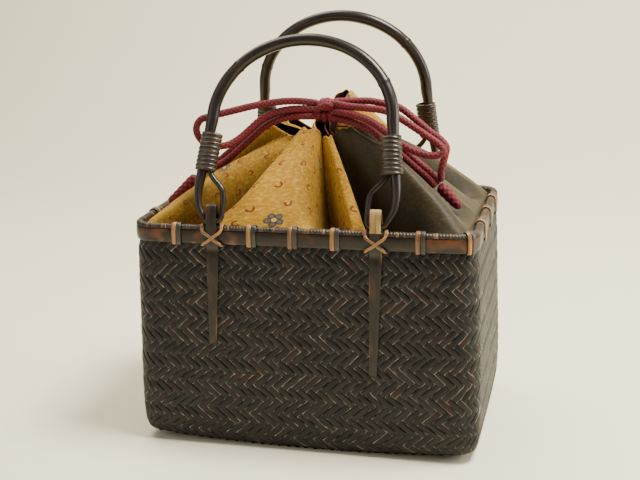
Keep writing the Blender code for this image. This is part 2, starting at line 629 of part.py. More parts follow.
def cross_strand(middle, facing, lean):
    """One strand of a crossed tie: from under the band, over the strap and roll, down inside."""
    lift = STRAP_THICK + GAP
    half = CROSS_THICK / 2
    far = INNER_BAND_INSET + BAND_INNER_THICK
    over = CROSS_THICK * 0.8 if lean > 0 else 0.0
    stages = [(TIE_TURN_IN, BAND_FOOT - GAP - half, -1.0),
              (-GAP - lift - half, BAND_FOOT - GAP - half, -0.96),
              (-GAP - lift - half - over, BAND_FOOT + BAND_HEIGHT * 0.30, -0.30),
              (-GAP - lift - half - over, BAND_FOOT + BAND_HEIGHT * 0.62, 0.26),
              (-GAP - lift - half, BAND_TOP - 2 * GAP, 0.88)]
    stages += [(inset, height, 1.0) for inset, height in over_roll(1.8 * GAP + half, (15, 48, 80, 105, 140))]
    stages += [(far + GAP + half, BAND_TOP, 1.0), (far + GAP + half, BAND_FOOT - GAP, 1.0)]
    rings = []
    for i, (inset, height, share) in enumerate(stages):
        before, after = stages[max(i - 1, 0)], stages[min(i + 1, len(stages) - 1)]
        along = Vector((after[0] - before[0], after[1] - before[1])).normalized()
        off = Vector((-along.y, along.x)) * half
        ring = []
        for across, sign in ((-1, -1), (1, -1), (1, 1), (-1, 1)):
            x = middle + lean * share * CROSS_HALF_SPAN + across * CROSS_WIDTH / 2
            ring.append(Vector((x, facing * (RIM_DEPTH / 2 - inset - sign * off.x), height + sign * off.y)))
        rings.append(ring)
    bm = bmesh.new()
    bridge(bm, rings)
    return bm


def build_cross_tie(name, where, side, material):
    """Two rattan strands that cross on the band over the strap, made one solid where they meet."""
    facing = -1 if where == "front" else 1
    middle = HANDLE_MIDDLE[where] + side * BAR_HALF_SPACING
    lower = add_object(name, cross_strand(middle, facing, -1), material, smooth=False)
    upper = add_object(f"{name}_upper", cross_strand(middle, facing, 1), material, smooth=False)
    joined = lower.modifiers.new("joined", "BOOLEAN")
    joined.operation = "UNION"
    joined.solver = "EXACT"
    joined.object = upper
    bpy.context.view_layer.update()
    solid = bpy.data.meshes.new_from_object(lower.evaluated_get(bpy.context.evaluated_depsgraph_get()))
    lower.modifiers.clear()
    lower.data = solid
    bpy.data.objects.remove(upper, do_unlink=True)


# Pouch

def fold_bounds(index):
    """Start, crest and end of a fold on the rim, and its valley angles and crest angle."""
    fold = POUCH_FOLDS[index]
    after = POUCH_FOLDS[(index + 1) % len(POUCH_FOLDS)]
    before = POUCH_FOLDS[index - 1]
    end = after.start + (1.0 if after.start < fold.start else 0.0)
    next_angle = after.angle + (360 if after.angle < fold.angle else 0)
    last_angle = before.angle - (360 if before.angle > fold.angle else 0)
    return fold.start, end, (fold.angle + last_angle) / 2, (fold.angle + next_angle) / 2


def pouch_point(index, x, t):
    """Outer face of the pouch: x from -1 to 1 across a fold, t from the rim, 0, to the neck, 1."""
    fold = POUCH_FOLDS[index]
    start, end, first_angle, last_angle = fold_bounds(index)
    side_share, side_angle = (start, first_angle) if x < 0 else (end, last_angle)
    share = fold.crest + (side_share - fold.crest) * abs(x)
    angle = math.radians(fold.angle + (side_angle - fold.angle) * abs(x))
    rim, _ = rim_place(share, LINING_INSET)
    rim.z = RIM_HEIGHT - ROLL_HEIGHT
    pinch = abs(x) ** (fold.edge + (3 - fold.edge) * t * t)
    other = POUCH_FOLDS[index - 1] if x < 0 else POUCH_FOLDS[(index + 1) % len(POUCH_FOLDS)]
    valley_height = min(fold.height, other.height) - NECK_VALLEY_DROP
    height = fold.height + (valley_height - fold.height) * pinch
    middle = NECK_VALLEY_REACH * Vector((math.cos(angle), math.sin(angle), 0))
    stop = (fold.reach - NECK_VALLEY_REACH) * (1 - pinch) / (rim.xy - middle.xy).length
    neck = rim.lerp(middle, 1 - stop)
    neck.z = height
    point = rim.lerp(neck, t)
    wave = math.sin(math.pi * min(1.0, t ** 0.85))
    point.z += fold.bulge * wave * (1 - pinch)
    dip = (fold.dip + other.dip) / 2 * math.sin(math.pi * t) ** 1.5 * pinch if t < 1 else 0.0
    point.z -= dip
    return point


def pouch_columns(cloth):
    """The columns of one cloth, in order round the pouch, as pairs of fold number and x."""
    count = len(POUCH_FOLDS)
    first = next(i for i in range(count) if POUCH_FOLDS[i].cloth == cloth and POUCH_FOLDS[i - 1].cloth != cloth)
    columns = []
    for step in range(count):
        index = (first + step) % count
        if POUCH_FOLDS[index].cloth != cloth:
            break
        last = index
        columns += [(index, x) for x in FOLD_COLUMNS]
    return columns + [(last, 1.0)]


def build_pouch(name, cloth, material):
    columns = pouch_columns(cloth)
    rows = [[pouch_point(index, x, 0.0) - Vector((0, 0, POUCH_SKIRT)) for index, x in columns]]
    rows += [[pouch_point(index, x, t) for index, x in columns] for t in FOLD_ROWS]
    for row in rows:
        for end, next_in in ((0, 1), (-1, -2)):
            row[end] = row[end] + (row[next_in] - row[end]).normalized() * SEAM_HALF_GAP
    bm = bmesh.new()
    grid = [[bm.verts.new(point) for point in row] for row in rows]
    for low, high in zip(grid, grid[1:]):
        for i in range(len(columns) - 1):
            bm.faces.new((low[i], low[i + 1], high[i + 1], high[i]))
    bm.normal_update()
    inner = []
    for height, row in enumerate(grid):
        steep = [x ** 4 * VALLEY_DROP_WAY if height > 1 else 0.0 for _, x in columns]
        ways = [(v.normal + Vector((0, 0, share))).normalized() for v, share in zip(row, steep)]
        inner.append([bm.verts.new(v.co - way * CLOTH) for v, way in zip(row, ways)])
    for low, high in zip(inner, inner[1:]):
        for i in range(len(columns) - 1):
            bm.faces.new((low[i], high[i], high[i + 1], low[i + 1]))
    for i in range(len(columns) - 1):
        bm.faces.new((grid[0][i + 1], grid[0][i], inner[0][i], inner[0][i + 1]))
        bm.faces.new((grid[-1][i], grid[-1][i + 1], inner[-1][i + 1], inner[-1][i]))
    for low, high, low_in, high_in in zip(grid, grid[1:], inner, inner[1:]):
        bm.faces.new((low[0], high[0], high_in[0], low_in[0]))
        bm.faces.new((high[-1], low[-1], low_in[-1], high_in[-1]))
    add_object(name, bm, material)


# Drawstring

def build_cord(name, points, radius, step, material, bevel_resolution=2):
    curve = bpy.data.curves.new(name, "CURVE")
    curve.dimensions = "3D"
    curve.bevel_depth = radius
    curve.bevel_resolution = bevel_resolution
    curve.use_fill_caps = True
    route = smooth_route(points, step)
    spline = curve.splines.new("POLY")
    spline.points.add(len(route) - 1)
    for spot, place in zip(spline.points, route):
        spot.co = (*place, 1.0)
    curve.materials.append(material)
    item = bpy.data.objects.new(name, curve)
    bpy.context.scene.collection.objects.link(item)


def build_bow_knot(material):
    """The crossed turns at the middle of the bow: a lump with a waist."""
    rings = []
    steps = 8
    for i in range(steps + 1):
        turn = math.pi * i / steps
        swell = max(math.sin(turn), 0.10) ** 0.6
        ring = []
        for k in range(KNOT_SIDES):
            around = 2 * math.pi * k / KNOT_SIDES
            ring.append(KNOT_CENTRE + Vector((KNOT_HALF.x * swell * math.cos(around),
                                              KNOT_HALF.y * swell * math.sin(around),
                                              -KNOT_HALF.z * math.cos(turn))))
        rings.append(ring)
    bm = bmesh.new()
    bridge(bm, rings)
    add_object("bow_knot", bm, material)


def build_end_knot(name, knot, material):
    along = (knot.finish - knot.start).normalized()
    across = along.cross(Vector((0, 0, 1))).normalized()
    upward = across.cross(along)
    rings = []
    for section in KNOT_SECTIONS:
        centre = knot.start.lerp(knot.finish, section.along)
        ring = []
        for k in range(KNOT_SIDES):
            turn = 2 * math.pi * k / KNOT_SIDES
            ring.append(centre + section.radius * (across * math.cos(turn) + upward * math.sin(turn)))
        rings.append(ring)
    bm = bmesh.new()
    bridge(bm, rings)
    add_object(name, bm, material)


def build():
    clear_scene()
    plait = make_material("smoked bamboo plait", (0.075, 0.066, 0.052), 0.55)
    band = make_material("smoked bamboo band", (0.115, 0.078, 0.052), 0.45)
    cane = make_material("rattan binding", (0.30, 0.19, 0.09), 0.50)
    rod = make_material("bent rod", (0.022, 0.017, 0.013), 0.30)
    lashing = make_material("rattan lashing", (0.05, 0.042, 0.032), 0.35)
    printed = make_material("printed cloth", (0.56, 0.38, 0.10), 0.80)
    plain = make_material("plain cloth", (0.125, 0.095, 0.045), 0.75)
    braid = make_material("braided cord", (0.25, 0.012, 0.025), 0.60)

    build_basket(plait)
    build_rim(band, cane)
    build_ties(cane)
    for where, facing in (("front", -1), ("back", 1)):
        pivot = add_pivot(f"pivot_{where}", Vector((HANDLE_MIDDLE[where], facing * PIVOT_Y, PIVOT_Z)))
        build_handle(where, pivot, rod)
        for side, hand in ((-1, "left"), (1, "right")):
            build_lashing(where, side, pivot, lashing)
            build_strap(f"strap_{where}_{hand}", where, side, STRAP_DROP[f"{where}_{hand}"], band)
            build_cross_tie(f"cross_tie_{where}_{hand}", where, side, cane)
    build_pouch("pouch_print", "print", printed)
    build_pouch("pouch_plain", "plain", plain)
    for name, points in CORD_ROUTES.items():
        build_cord(name, points, CORD_RADIUS, CORD_STEP, braid)
    for name, points in THREAD_ROUTES.items():
        build_cord(name, points, THREAD_RADIUS, THREAD_STEP, braid)
    build_bow_knot(braid)
    for name, knot in END_KNOTS.items():
        build_end_knot(name, knot, braid)


build()
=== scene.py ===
import math

import bpy
import numpy as np
from mathutils import Matrix, Vector


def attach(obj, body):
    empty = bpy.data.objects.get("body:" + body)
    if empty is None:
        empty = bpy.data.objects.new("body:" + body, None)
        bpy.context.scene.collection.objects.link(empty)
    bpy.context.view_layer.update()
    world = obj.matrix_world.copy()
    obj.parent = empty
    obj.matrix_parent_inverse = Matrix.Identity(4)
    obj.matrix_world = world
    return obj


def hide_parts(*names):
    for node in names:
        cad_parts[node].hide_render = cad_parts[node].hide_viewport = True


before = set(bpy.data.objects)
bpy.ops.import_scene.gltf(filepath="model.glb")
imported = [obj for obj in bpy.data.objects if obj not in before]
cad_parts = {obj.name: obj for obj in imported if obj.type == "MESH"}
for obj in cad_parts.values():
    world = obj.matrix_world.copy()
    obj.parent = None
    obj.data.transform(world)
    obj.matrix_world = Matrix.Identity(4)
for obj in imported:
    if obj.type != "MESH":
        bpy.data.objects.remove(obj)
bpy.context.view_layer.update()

# Camera. The bag is seen from a little to its right and from above, on a table before a pale
# wall. The lens is a short telephoto, and the camera is tilted by a degree and a half.
CAMERA_TURN = math.radians(14.37)
CAMERA_LIFT = math.radians(15.52)
CAMERA_ROLL = math.radians(-1.60)
CAMERA_DISTANCE = 0.975
CAMERA_TARGET = Vector((-0.00397, 0.0, 0.15784))
camera_back = Vector((math.sin(CAMERA_TURN) * math.cos(CAMERA_LIFT),
                      -math.cos(CAMERA_TURN) * math.cos(CAMERA_LIFT), math.sin(CAMERA_LIFT)))
camera_right = (-camera_back).cross(Vector((0, 0, 1))).normalized()
camera_up = camera_right.cross(-camera_back)
tilted_right = math.cos(CAMERA_ROLL) * camera_right + math.sin(CAMERA_ROLL) * camera_up
tilted_up = camera_back.cross(tilted_right)
bpy.ops.object.camera_add()
camera = bpy.context.object
camera.name = "camera"
place = CAMERA_TARGET + camera_back * CAMERA_DISTANCE
camera.matrix_world = Matrix((
    (tilted_right.x, tilted_up.x, camera_back.x, place.x),
    (tilted_right.y, tilted_up.y, camera_back.y, place.y),
    (tilted_right.z, tilted_up.z, camera_back.z, place.z),
    (0, 0, 0, 1)))
camera.data.sensor_width = 36.0
camera.data.lens = 63.17
camera.data.clip_start = 0.01
bpy.context.scene.camera = camera

# Table and wall. One pale sheet runs over the table and turns up behind it in a soft curve,
# as a paper backdrop does.
BACKDROP_LENGTH = 5.2
BACKDROP_FRONT = -2.4
BACKDROP_HALF_WIDTH = 3.0
BEND_AT = 0.75
BEND_RADIUS = 0.55
bpy.ops.mesh.primitive_grid_add(x_subdivisions=2, y_subdivisions=40, size=2)
backdrop = bpy.context.object
backdrop.name = "backdrop"
for vertex in backdrop.data.vertices:
    along = (vertex.co.y + 1) / 2 * BACKDROP_LENGTH + BACKDROP_FRONT
    turn = min(max((along - BEND_AT) / BEND_RADIUS, 0.0), math.pi / 2)
    rise = max(along - BEND_AT - BEND_RADIUS * math.pi / 2, 0.0)
    vertex.co = Vector((vertex.co.x * BACKDROP_HALF_WIDTH,
                        min(along, BEND_AT) + BEND_RADIUS * math.sin(turn),
                        BEND_RADIUS * (1 - math.cos(turn)) + rise))
bpy.ops.object.shade_smooth()
paper = bpy.data.materials.new("pale paper backdrop")
paper.use_nodes = True
paper.node_tree.nodes["Principled BSDF"].inputs["Base Color"].default_value = (0.98, 0.92, 0.68, 1)
paper.node_tree.nodes["Principled BSDF"].inputs["Roughness"].default_value = 0.85
backdrop.data.materials.append(paper)

# Light. A soft box hangs over the right, so the folds' left sides lie in shadow. A second one
# gives the right side its silver sheen, a weak one fills from the left and one lights the wall.
for name, at, size, energy, colour in (
        ("light_over_right", (0.55, -0.05, 1.40), 0.50, 42.0, (1.0, 0.97, 0.90)),
        ("light_left", (-1.20, -0.90, 0.80), 1.0, 5.0, (1.0, 0.97, 0.92)),
        ("light_right", (1.30, 0.20, 0.60), 0.7, 13.0, (1.0, 0.98, 0.94)),
        ("light_on_wall", (-0.60, 0.40, 1.60), 0.9, 20.0, (1.0, 0.97, 0.88))):
    bpy.ops.object.light_add(type="AREA", location=at)
    light = bpy.context.object
    light.name = name
    light.data.size = size
    light.data.energy = energy
    light.data.color = colour
    light.rotation_euler = (Vector((0, 0, 0.15)) - Vector(at)).to_track_quat("-Z", "Y").to_euler()
room = bpy.data.worlds.new("room")
bpy.context.scene.world = room
room.use_nodes = True
room.node_tree.nodes["Background"].inputs["Color"].default_value = (1.0, 0.97, 0.92, 1)
room.node_tree.nodes["Background"].inputs["Strength"].default_value = 0.22


# Drawstring. A round braid of red yarn, 6 mm thick, is knotted in a bow over the pouch's mouth.
# Its two loops and its tails lie between the handles and end in bound knots at each side.
def spread_points(points, step):
    """Evenly spaced points on a smooth curve through the chosen ones."""
    chosen = [Vector(p) for p in points]
    chosen = [2 * chosen[0] - chosen[1]] + chosen + [2 * chosen[-1] - chosen[-2]]
    fine = []
    for p0, p1, p2, p3 in zip(chosen, chosen[1:], chosen[2:], chosen[3:]):
        t0 = 0.0
        t1 = t0 + math.sqrt((p1 - p0).length)
        t2 = t1 + math.sqrt((p2 - p1).length)
        t3 = t2 + math.sqrt((p3 - p2).length)
        for i in range(16):
            t = t1 + (t2 - t1) * i / 16
            a1 = p0.lerp(p1, (t - t0) / (t1 - t0))
            a2 = p1.lerp(p2, (t - t1) / (t2 - t1))
            a3 = p2.lerp(p3, (t - t2) / (t3 - t2))
            b1 = a1.lerp(a2, (t - t0) / (t2 - t0))
            b2 = a2.lerp(a3, (t - t1) / (t3 - t1))
            fine.append(b1.lerp(b2, (t - t1) / (t2 - t1)))
    fine.append(chosen[-2])
    fine = np.array([tuple(p) for p in fine])
    lengths = lengths_along(fine)
    count = max(4, round(lengths[-1] / step))
    stops = np.linspace(0, lengths[-1], count + 1)
    return np.stack([np.interp(stops, lengths, fine[:, k]) for k in range(3)], axis=1)


def lengths_along(points):
    """How far along a line of points each one lies."""
    return np.concatenate([[0.0], np.cumsum(np.linalg.norm(np.diff(points, axis=0), axis=1))])


def carried_frames(route):
    """Unit tangents of a route, and two cross directions carried along it without twisting."""
    tangents = np.gradient(route, axis=0)
    tangents /= np.linalg.norm(tangents, axis=1)[:, None]
    side = np.cross(tangents[0], (0.0, 0.0, 1.0))
    if np.linalg.norm(side) < 0.1:
        side = np.cross(tangents[0], (0.0, 1.0, 0.0))
    sides = []
    for tangent in tangents:
        side = side - tangent * np.dot(side, tangent)
        side = side / np.linalg.norm(side)
        sides.append(side)
    sides = np.array(sides)
    return tangents, sides, np.cross(tangents, sides)


def close_seams():
    """Merge what lies together in the chosen piece, and turn its faces outward."""
    bpy.ops.object.mode_set(mode="EDIT")
    bpy.ops.mesh.select_all(action="SELECT")
    bpy.ops.mesh.remove_doubles(threshold=1e-6)
    bpy.ops.mesh.normals_make_consistent(inside=False)
    bpy.ops.object.mode_set(mode="OBJECT")


def grid_piece(name, across, along, shape):
    """A primitive grid bent into a shape: shape takes shares across and along and gives points."""
    bpy.ops.object.select_all(action="DESELECT")
    bpy.ops.mesh.primitive_grid_add(x_subdivisions=across, y_subdivisions=along, size=2)
    piece = bpy.context.object
    piece.name = name
    piece.data.name = name
    spots = np.zeros(len(piece.data.vertices) * 3)
    piece.data.vertices.foreach_get("co", spots)
    spots = spots.reshape(-1, 3)
    points = shape((spots[:, 0] + 1) / 2, (spots[:, 1] + 1) / 2)
    piece.data.vertices.foreach_set("co", np.ascontiguousarray(points, dtype=np.float32).ravel())
    piece.data.update()
    bpy.ops.object.shade_smooth()
    return piece


def store(piece, name, values):
    """Keep a value or a vector at every vertex of a piece, for its material to read."""
    vector = np.ndim(values) > 1
    kept = piece.data.attributes.new(name, "FLOAT_VECTOR" if vector else "FLOAT", "POINT")
    kept.data.foreach_set("vector" if vector else "value",
                          np.ascontiguousarray(values, dtype=np.float32).ravel())


def plaited(around, along, yarns, pitch):
    """Relief of a round braid, 0 in its furrows and 1 on its yarns, where two rows of yarns cross."""
    first = yarns * around + along / pitch
    second = yarns * around - along / pitch
    over = (np.floor(first) + np.floor(second)) % 2
    slant = np.where(over > 0.5, first % 1.0, second % 1.0)
    other = np.where(over > 0.5, second % 1.0, first % 1.0)
    return np.sqrt(np.clip(1 - (2 * slant - 1) ** 2, 0, 1)) * (0.55 + 0.45 * np.sin(math.pi * other))


def round_braid(name, route, radius, relief, yarns, pitch, sides, step=0.0006, taper=0.0):
    """A braided tube of a given radius, which closes round at both of its ends."""
    fine = spread_points(route, step)
    lengths = lengths_along(fine)
    tangents, sides_a, sides_b = carried_frames(fine)
    total = lengths[-1]

    def shape(u, v):
        along = v * total
        pick = np.clip(np.rint(v * (len(fine) - 1)).astype(int), 0, len(fine) - 1)
        high = plaited(u % 1.0, along, yarns, pitch)
        ends = np.minimum(along, total - along) / radius
        cap = np.sqrt(np.clip(1 - (1 - np.clip(ends, 0, 1)) ** 2, 0, 1))
        reach = (radius - relief + relief * high) * cap * (1 - taper * v)
        turn = 2 * math.pi * u
        shape.plait = high
        return (fine[pick] + sides_a[pick] * (reach * np.cos(turn))[:, None]
                + sides_b[pick] * (reach * np.sin(turn))[:, None])

    piece = grid_piece(name, sides, len(fine) - 1, shape)
    store(piece, "plait", shape.plait)
    close_seams()
    return piece, fine


def new_group(name, inputs, outputs):
    """An empty shader node group with named sockets."""
    group = bpy.data.node_groups.new(name, "ShaderNodeTree")
    for socket, kind, value in inputs:
        made = group.interface.new_socket(name=socket, in_out="INPUT", socket_type=kind)
        made.default_value = value
    for socket, kind in outputs:
        group.interface.new_socket(name=socket, in_out="OUTPUT", socket_type=kind)
    return group, group.nodes.new("NodeGroupInput"), group.nodes.new("NodeGroupOutput")


def link(tree, source, target):
    tree.links.new(source, target)


def math_node(tree, operation, first, second=None, third=None):
    node = tree.nodes.new("ShaderNodeMath")
    node.operation = operation
    for slot, value in enumerate((first, second, third)):
        if value is None:
            continue
        if isinstance(value, (int, float)):
            node.inputs[slot].default_value = value
        else:
            tree.links.new(value, node.inputs[slot])
    return node.outputs[0]


def colour_mix(tree, factor, first, second):
    node = tree.nodes.new("ShaderNodeMix")
    node.data_type = "RGBA"
    for socket, value in ((node.inputs[0], factor), (node.inputs[6], first), (node.inputs[7], second)):
        if isinstance(value, (int, float)):
            socket.default_value = value
        elif isinstance(value, tuple):
            socket.default_value = (*value, 1.0)
        else:
            tree.links.new(value, socket)
    return node.outputs[2]


def ramp_node(tree, factor, stops):
    node = tree.nodes.new("ShaderNodeValToRGB")
    while len(node.color_ramp.elements) < len(stops):
        node.color_ramp.elements.new(0.5)
    for element, (at, grey) in zip(node.color_ramp.elements, stops):
        element.position = at
        element.color = (grey, grey, grey, 1.0)
    tree.links.new(factor, node.inputs[0])
    return node.outputs[0]


def noise_node(tree, vector, scale, detail=3.0, roughness=0.5):
    node = tree.nodes.new("ShaderNodeTexNoise")
    node.inputs["Scale"].default_value = scale
    node.inputs["Detail"].default_value = detail
    node.inputs["Roughness"].default_value = roughness
    tree.links.new(vector, node.inputs["Vector"])
    return node.outputs["Fac"]


def stretched(tree, vector, scale):
    node = tree.nodes.new("ShaderNodeMapping")
    node.inputs["Scale"].default_value = scale
    tree.links.new(vector, node.inputs["Vector"])
    return node.outputs[0]


def bump_node(tree, height, distance, strength):
    node = tree.nodes.new("ShaderNodeBump")
    node.inputs["Strength"].default_value = strength
    node.inputs["Distance"].default_value = distance
    tree.links.new(height, node.inputs["Height"])
    return node.outputs[0]


def kept_value(tree, name):
    node = tree.nodes.new("ShaderNodeAttribute")
    node.attribute_name = name
    return node


def ranged(tree, value, low, high, smooth=False):
    """A value brought from a low and a high bound to 0 and 1."""
    node = tree.nodes.new("ShaderNodeMapRange")
    node.interpolation_type = "SMOOTHSTEP" if smooth else "LINEAR"
    node.inputs["From Min"].default_value = low
    node.inputs["From Max"].default_value = high
    link(tree, value, node.inputs["Value"])
    return node.outputs[0]


def held(tree, value):
    """A value kept between 0 and 1."""
    return math_node(tree, "MINIMUM", math_node(tree, "MAXIMUM", value, 0.0), 1.0)


def blank_material(name, roughness, specular=0.5):
    material = bpy.data.materials.new(name)
    material.use_nodes = True
    shader = material.node_tree.nodes["Principled BSDF"]
    shader.inputs["Roughness"].default_value = roughness
    shader.inputs["Specular IOR Level"].default_value = specular
    return material, material.node_tree, shader


# Yarn: the braid's red rayon, with fine fibres. Its colour darkens from the crowns into the furrows, a
# painted shade, and is paler in clouds on the crowns.
yarn, given, result = new_group("yarn", (
    ("Deep", "NodeSocketColor", (0.06, 0.003, 0.008, 1)),
    ("Body", "NodeSocketColor", (0.3, 0.02, 0.04, 1)),
    ("Crown", "NodeSocketColor", (0.5, 0.06, 0.09, 1))), (
    ("Colour", "NodeSocketColor"), ("Height", "NodeSocketFloat")))
spot = yarn.nodes.new("ShaderNodeTexCoord").outputs["Object"]
fibres = noise_node(yarn, spot, 2600.0, 2.0)
clouds = noise_node(yarn, spot, 90.0, 2.0)
height = kept_value(yarn, "plait").outputs["Fac"]
cloudy = math_node(yarn, "ADD", height, math_node(yarn, "MULTIPLY_ADD", clouds, 0.5, -0.25))
# Painted shade: the colour runs from the deep tone in the furrows up to the body tone on the yarns.
body = colour_mix(yarn, ranged(yarn, height, 0.10, 0.62), given.outputs["Deep"], given.outputs["Body"])
link(yarn, colour_mix(yarn, ranged(yarn, cloudy, 0.62, 1.05), body, given.outputs["Crown"]),
     result.inputs["Colour"])
link(yarn, math_node(yarn, "MULTIPLY_ADD", fibres, 0.4, height), result.inputs["Height"])

red_braid, tree, shader = blank_material("red rayon braid", 0.62, 0.35)
threads = tree.nodes.new("ShaderNodeGroup")
threads.node_tree = yarn
# The deep tone is the painted shade in the braid's furrows.
threads.inputs["Deep"].default_value = (0.010, 0.0005, 0.0015, 1)
threads.inputs["Body"].default_value = (0.105, 0.003, 0.008, 1)
threads.inputs["Crown"].default_value = (0.27, 0.013, 0.024, 1)
link(tree, threads.outputs["Colour"], shader.inputs["Base Color"])
link(tree, bump_node(tree, threads.outputs["Height"], 0.00012, 0.6), shader.inputs["Normal"])
shader.inputs["Sheen Weight"].default_value = 0.05

CORD_THICK = 0.0062
BRAID = {"relief": 0.00060, "yarns": 5, "pitch": 0.0038, "sides": 25}
BOW_KNOT_AT = np.array((0.0062, -0.0100, 0.2730))
KNOT_SINK = 0.0026
cord_routes = {
    "cord_bow_left": (
        (0.0035, -0.0115, 0.2775), (-0.0015, -0.0124, 0.2793), (-0.0217, -0.0180, 0.2815),
        (-0.0470, -0.0260, 0.2792),
        (-0.0671, -0.0340, 0.2752), (-0.0827, -0.0400, 0.2718), (-0.0923, -0.0420, 0.2687),
        (-0.0954, -0.0440, 0.2623), (-0.0934, -0.0450, 0.2552), (-0.0879, -0.0450, 0.2499),
        (-0.0770, -0.0430, 0.2474), (-0.0689, -0.0400, 0.2484), (-0.0616, -0.0350, 0.2525),
        (-0.0542, -0.0300, 0.2590), (-0.0470, -0.0260, 0.2655), (-0.0380, -0.0225, 0.2710),
        (-0.0217, -0.0180, 0.2745), (-0.0018, -0.0141, 0.2742), (0.0035, -0.0125, 0.2728)),
    "cord_bow_right": (
        (0.0095, -0.0115, 0.2770), (0.0143, -0.0130, 0.2787), (0.0291, -0.0170, 0.2773),
        (0.0453, -0.0220, 0.2768),
        (0.0605, -0.0270, 0.2755), (0.0722, -0.0300, 0.2706), (0.0850, -0.0320, 0.2631),
        (0.0972, -0.0330, 0.2554), (0.1050, -0.0345, 0.2503), (0.1086, -0.0365, 0.2460),
        (0.1050, -0.0380, 0.2428), (0.0984, -0.0385, 0.2423), (0.0891, -0.0385, 0.2443),
        (0.0799, -0.0375, 0.2480), (0.0715, -0.0350, 0.2525), (0.0620, -0.0320, 0.2590),
        (0.0472, -0.0270, 0.2670), (0.0307, -0.0200, 0.2715), (0.0140, -0.0143, 0.2726),
        (0.0095, -0.0125, 0.2715)),
    "cord_tail_left_front": (
        (0.0035, -0.0125, 0.2685), (-0.0014, -0.0158, 0.2689), (-0.0231, -0.0175, 0.2680),
        (-0.0400, -0.0190, 0.2625),
        (-0.0540, -0.0215, 0.2515), (-0.0670, -0.0250, 0.2400), (-0.0768, -0.0275, 0.2320),
        (-0.0855, -0.0300, 0.2275), (-0.0943, -0.0312, 0.2240), (-0.0996, -0.0339, 0.2191)),
    "cord_tail_left_back": (
        (0.0030, -0.0085, 0.2705), (-0.0027, -0.0094, 0.2716), (-0.0231, -0.0110, 0.2722),
        (-0.0400, -0.0130, 0.2682),
        (-0.0540, -0.0165, 0.2572), (-0.0670, -0.0200, 0.2455), (-0.0768, -0.0230, 0.2370),
        (-0.0870, -0.0245, 0.2290), (-0.0970, -0.0260, 0.2242), (-0.1023, -0.0290, 0.2191)),
    "cord_tail_right_over": (
        (0.0095, -0.0080, 0.2770), (0.0142, -0.0072, 0.2794), (0.0273, -0.0060, 0.2800),
        (0.0421, -0.0045, 0.2802),
        (0.0547, -0.0045, 0.2782), (0.0671, -0.0060, 0.2757), (0.0814, -0.0100, 0.2666),
        (0.0951, -0.0160, 0.2571), (0.1044, -0.0215, 0.2519), (0.1092, -0.0250, 0.2465),
        (0.1085, -0.0270, 0.2400), (0.1068, -0.0285, 0.2330), (0.1055, -0.0292, 0.2265),
        (0.1056, -0.0292, 0.2189)),
    "cord_tail_right_front": (
        (0.0090, -0.0115, 0.2675), (0.0136, -0.0139, 0.2672), (0.0306, -0.0180, 0.2645),
        (0.0468, -0.0220, 0.2590),
        (0.0598, -0.0250, 0.2500), (0.0715, -0.0270, 0.2410), (0.0840, -0.0290, 0.2305),
        (0.0940, -0.0302, 0.2225), (0.1015, -0.0302, 0.2147)),
    "cord_tail_right_back": (
        (0.0100, -0.0085, 0.2690), (0.0153, -0.0084, 0.2690), (0.0306, -0.0115, 0.2690),
        (0.0468, -0.0165, 0.2650),
        (0.0598, -0.0200, 0.2560), (0.0715, -0.0220, 0.2465), (0.0840, -0.0240, 0.2352),
        (0.0960, -0.0244, 0.2255), (0.1033, -0.0246, 0.2161)),
}
cord_pieces = {}
for name, route in cord_routes.items():
    piece, path = round_braid(f"braid_{name[5:]}", route, CORD_THICK / 2, **BRAID)
    piece.data.materials.append(red_braid)
    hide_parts(name)
    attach(piece, "root")
    cord_pieces[name] = (piece, path)

# Knots of the drawstring. The bow's knot is a band of cord drawn over the two loops, and each
# end knot is a long braided sleeve that grips the tails and narrows to its tip.
knot_turns = []
turn_sizes = ((-0.0036, 0.0098, 0.0080, 0.20), (0.0010, 0.0104, 0.0086, 0.10),
              (0.0052, 0.0094, 0.0078, -0.05))
for number, (shift, tall, deep, slope) in enumerate(turn_sizes, 1):
    ring = []
    for turn in np.linspace(0, 2 * math.pi, 15):
        ring.append(BOW_KNOT_AT + np.array((shift + slope * tall * math.sin(turn),
                                            -(deep - KNOT_SINK) * math.cos(turn),
                                            (tall - KNOT_SINK) * math.sin(turn))))
    knot_turns.append((f"bow_knot_turn_{number}", ring))
knot_turns.append(("bow_knot_cross", [
    BOW_KNOT_AT + np.array(p) for p in (
        (-0.0074, -0.0010, -0.0020), (-0.0056, -0.0062, 0.0012), (-0.0010, -0.0084, 0.0040),
        (0.0040, -0.0080, 0.0052), (0.0076, -0.0036, 0.0030))]))
knot_pieces = []
for name, ring in knot_turns:
    piece, _ = round_braid(name, ring, CORD_THICK / 2, **BRAID)
    piece.data.materials.append(red_braid)
    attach(piece, "root")
    knot_pieces.append(piece)
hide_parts("bow_knot")

for name, start, finish, thick in (
        ("end_knot_left", (-0.1012, -0.0316, 0.2188), (-0.1235, -0.0440, 0.1975), 0.0056),
        ("end_knot_right", (0.1040, -0.0276, 0.2162), (0.1215, -0.0300, 0.1978), 0.0058)):
    start, finish = np.array(start), np.array(finish)
    route = [start + (finish - start) * s for s in (0.0, 0.33, 0.66, 1.0)]
    piece, _ = round_braid(f"{name}_sleeve", route, thick, 0.0009, 5, 0.0052, 30, step=0.0005, taper=0.32)
    piece.data.materials.append(red_braid)
    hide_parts(name)
    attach(piece, "root")
    knot_pieces.append(piece)

for name, far_end, on_it in (
        ("cord_bow_left", "object", knot_pieces[0:2]), ("cord_bow_right", "object", knot_pieces[2:4]),
        ("cord_tail_left_front", "knot", [knot_pieces[4]]),
        ("cord_tail_left_back", "knot", [knot_pieces[4]]),
        ("cord_tail_right_over", "knot", [knot_pieces[5]]),
        ("cord_tail_right_front", "knot", [knot_pieces[5]]),
        ("cord_tail_right_back", "knot", [knot_pieces[5]])):
    piece, path = cord_pieces[name]
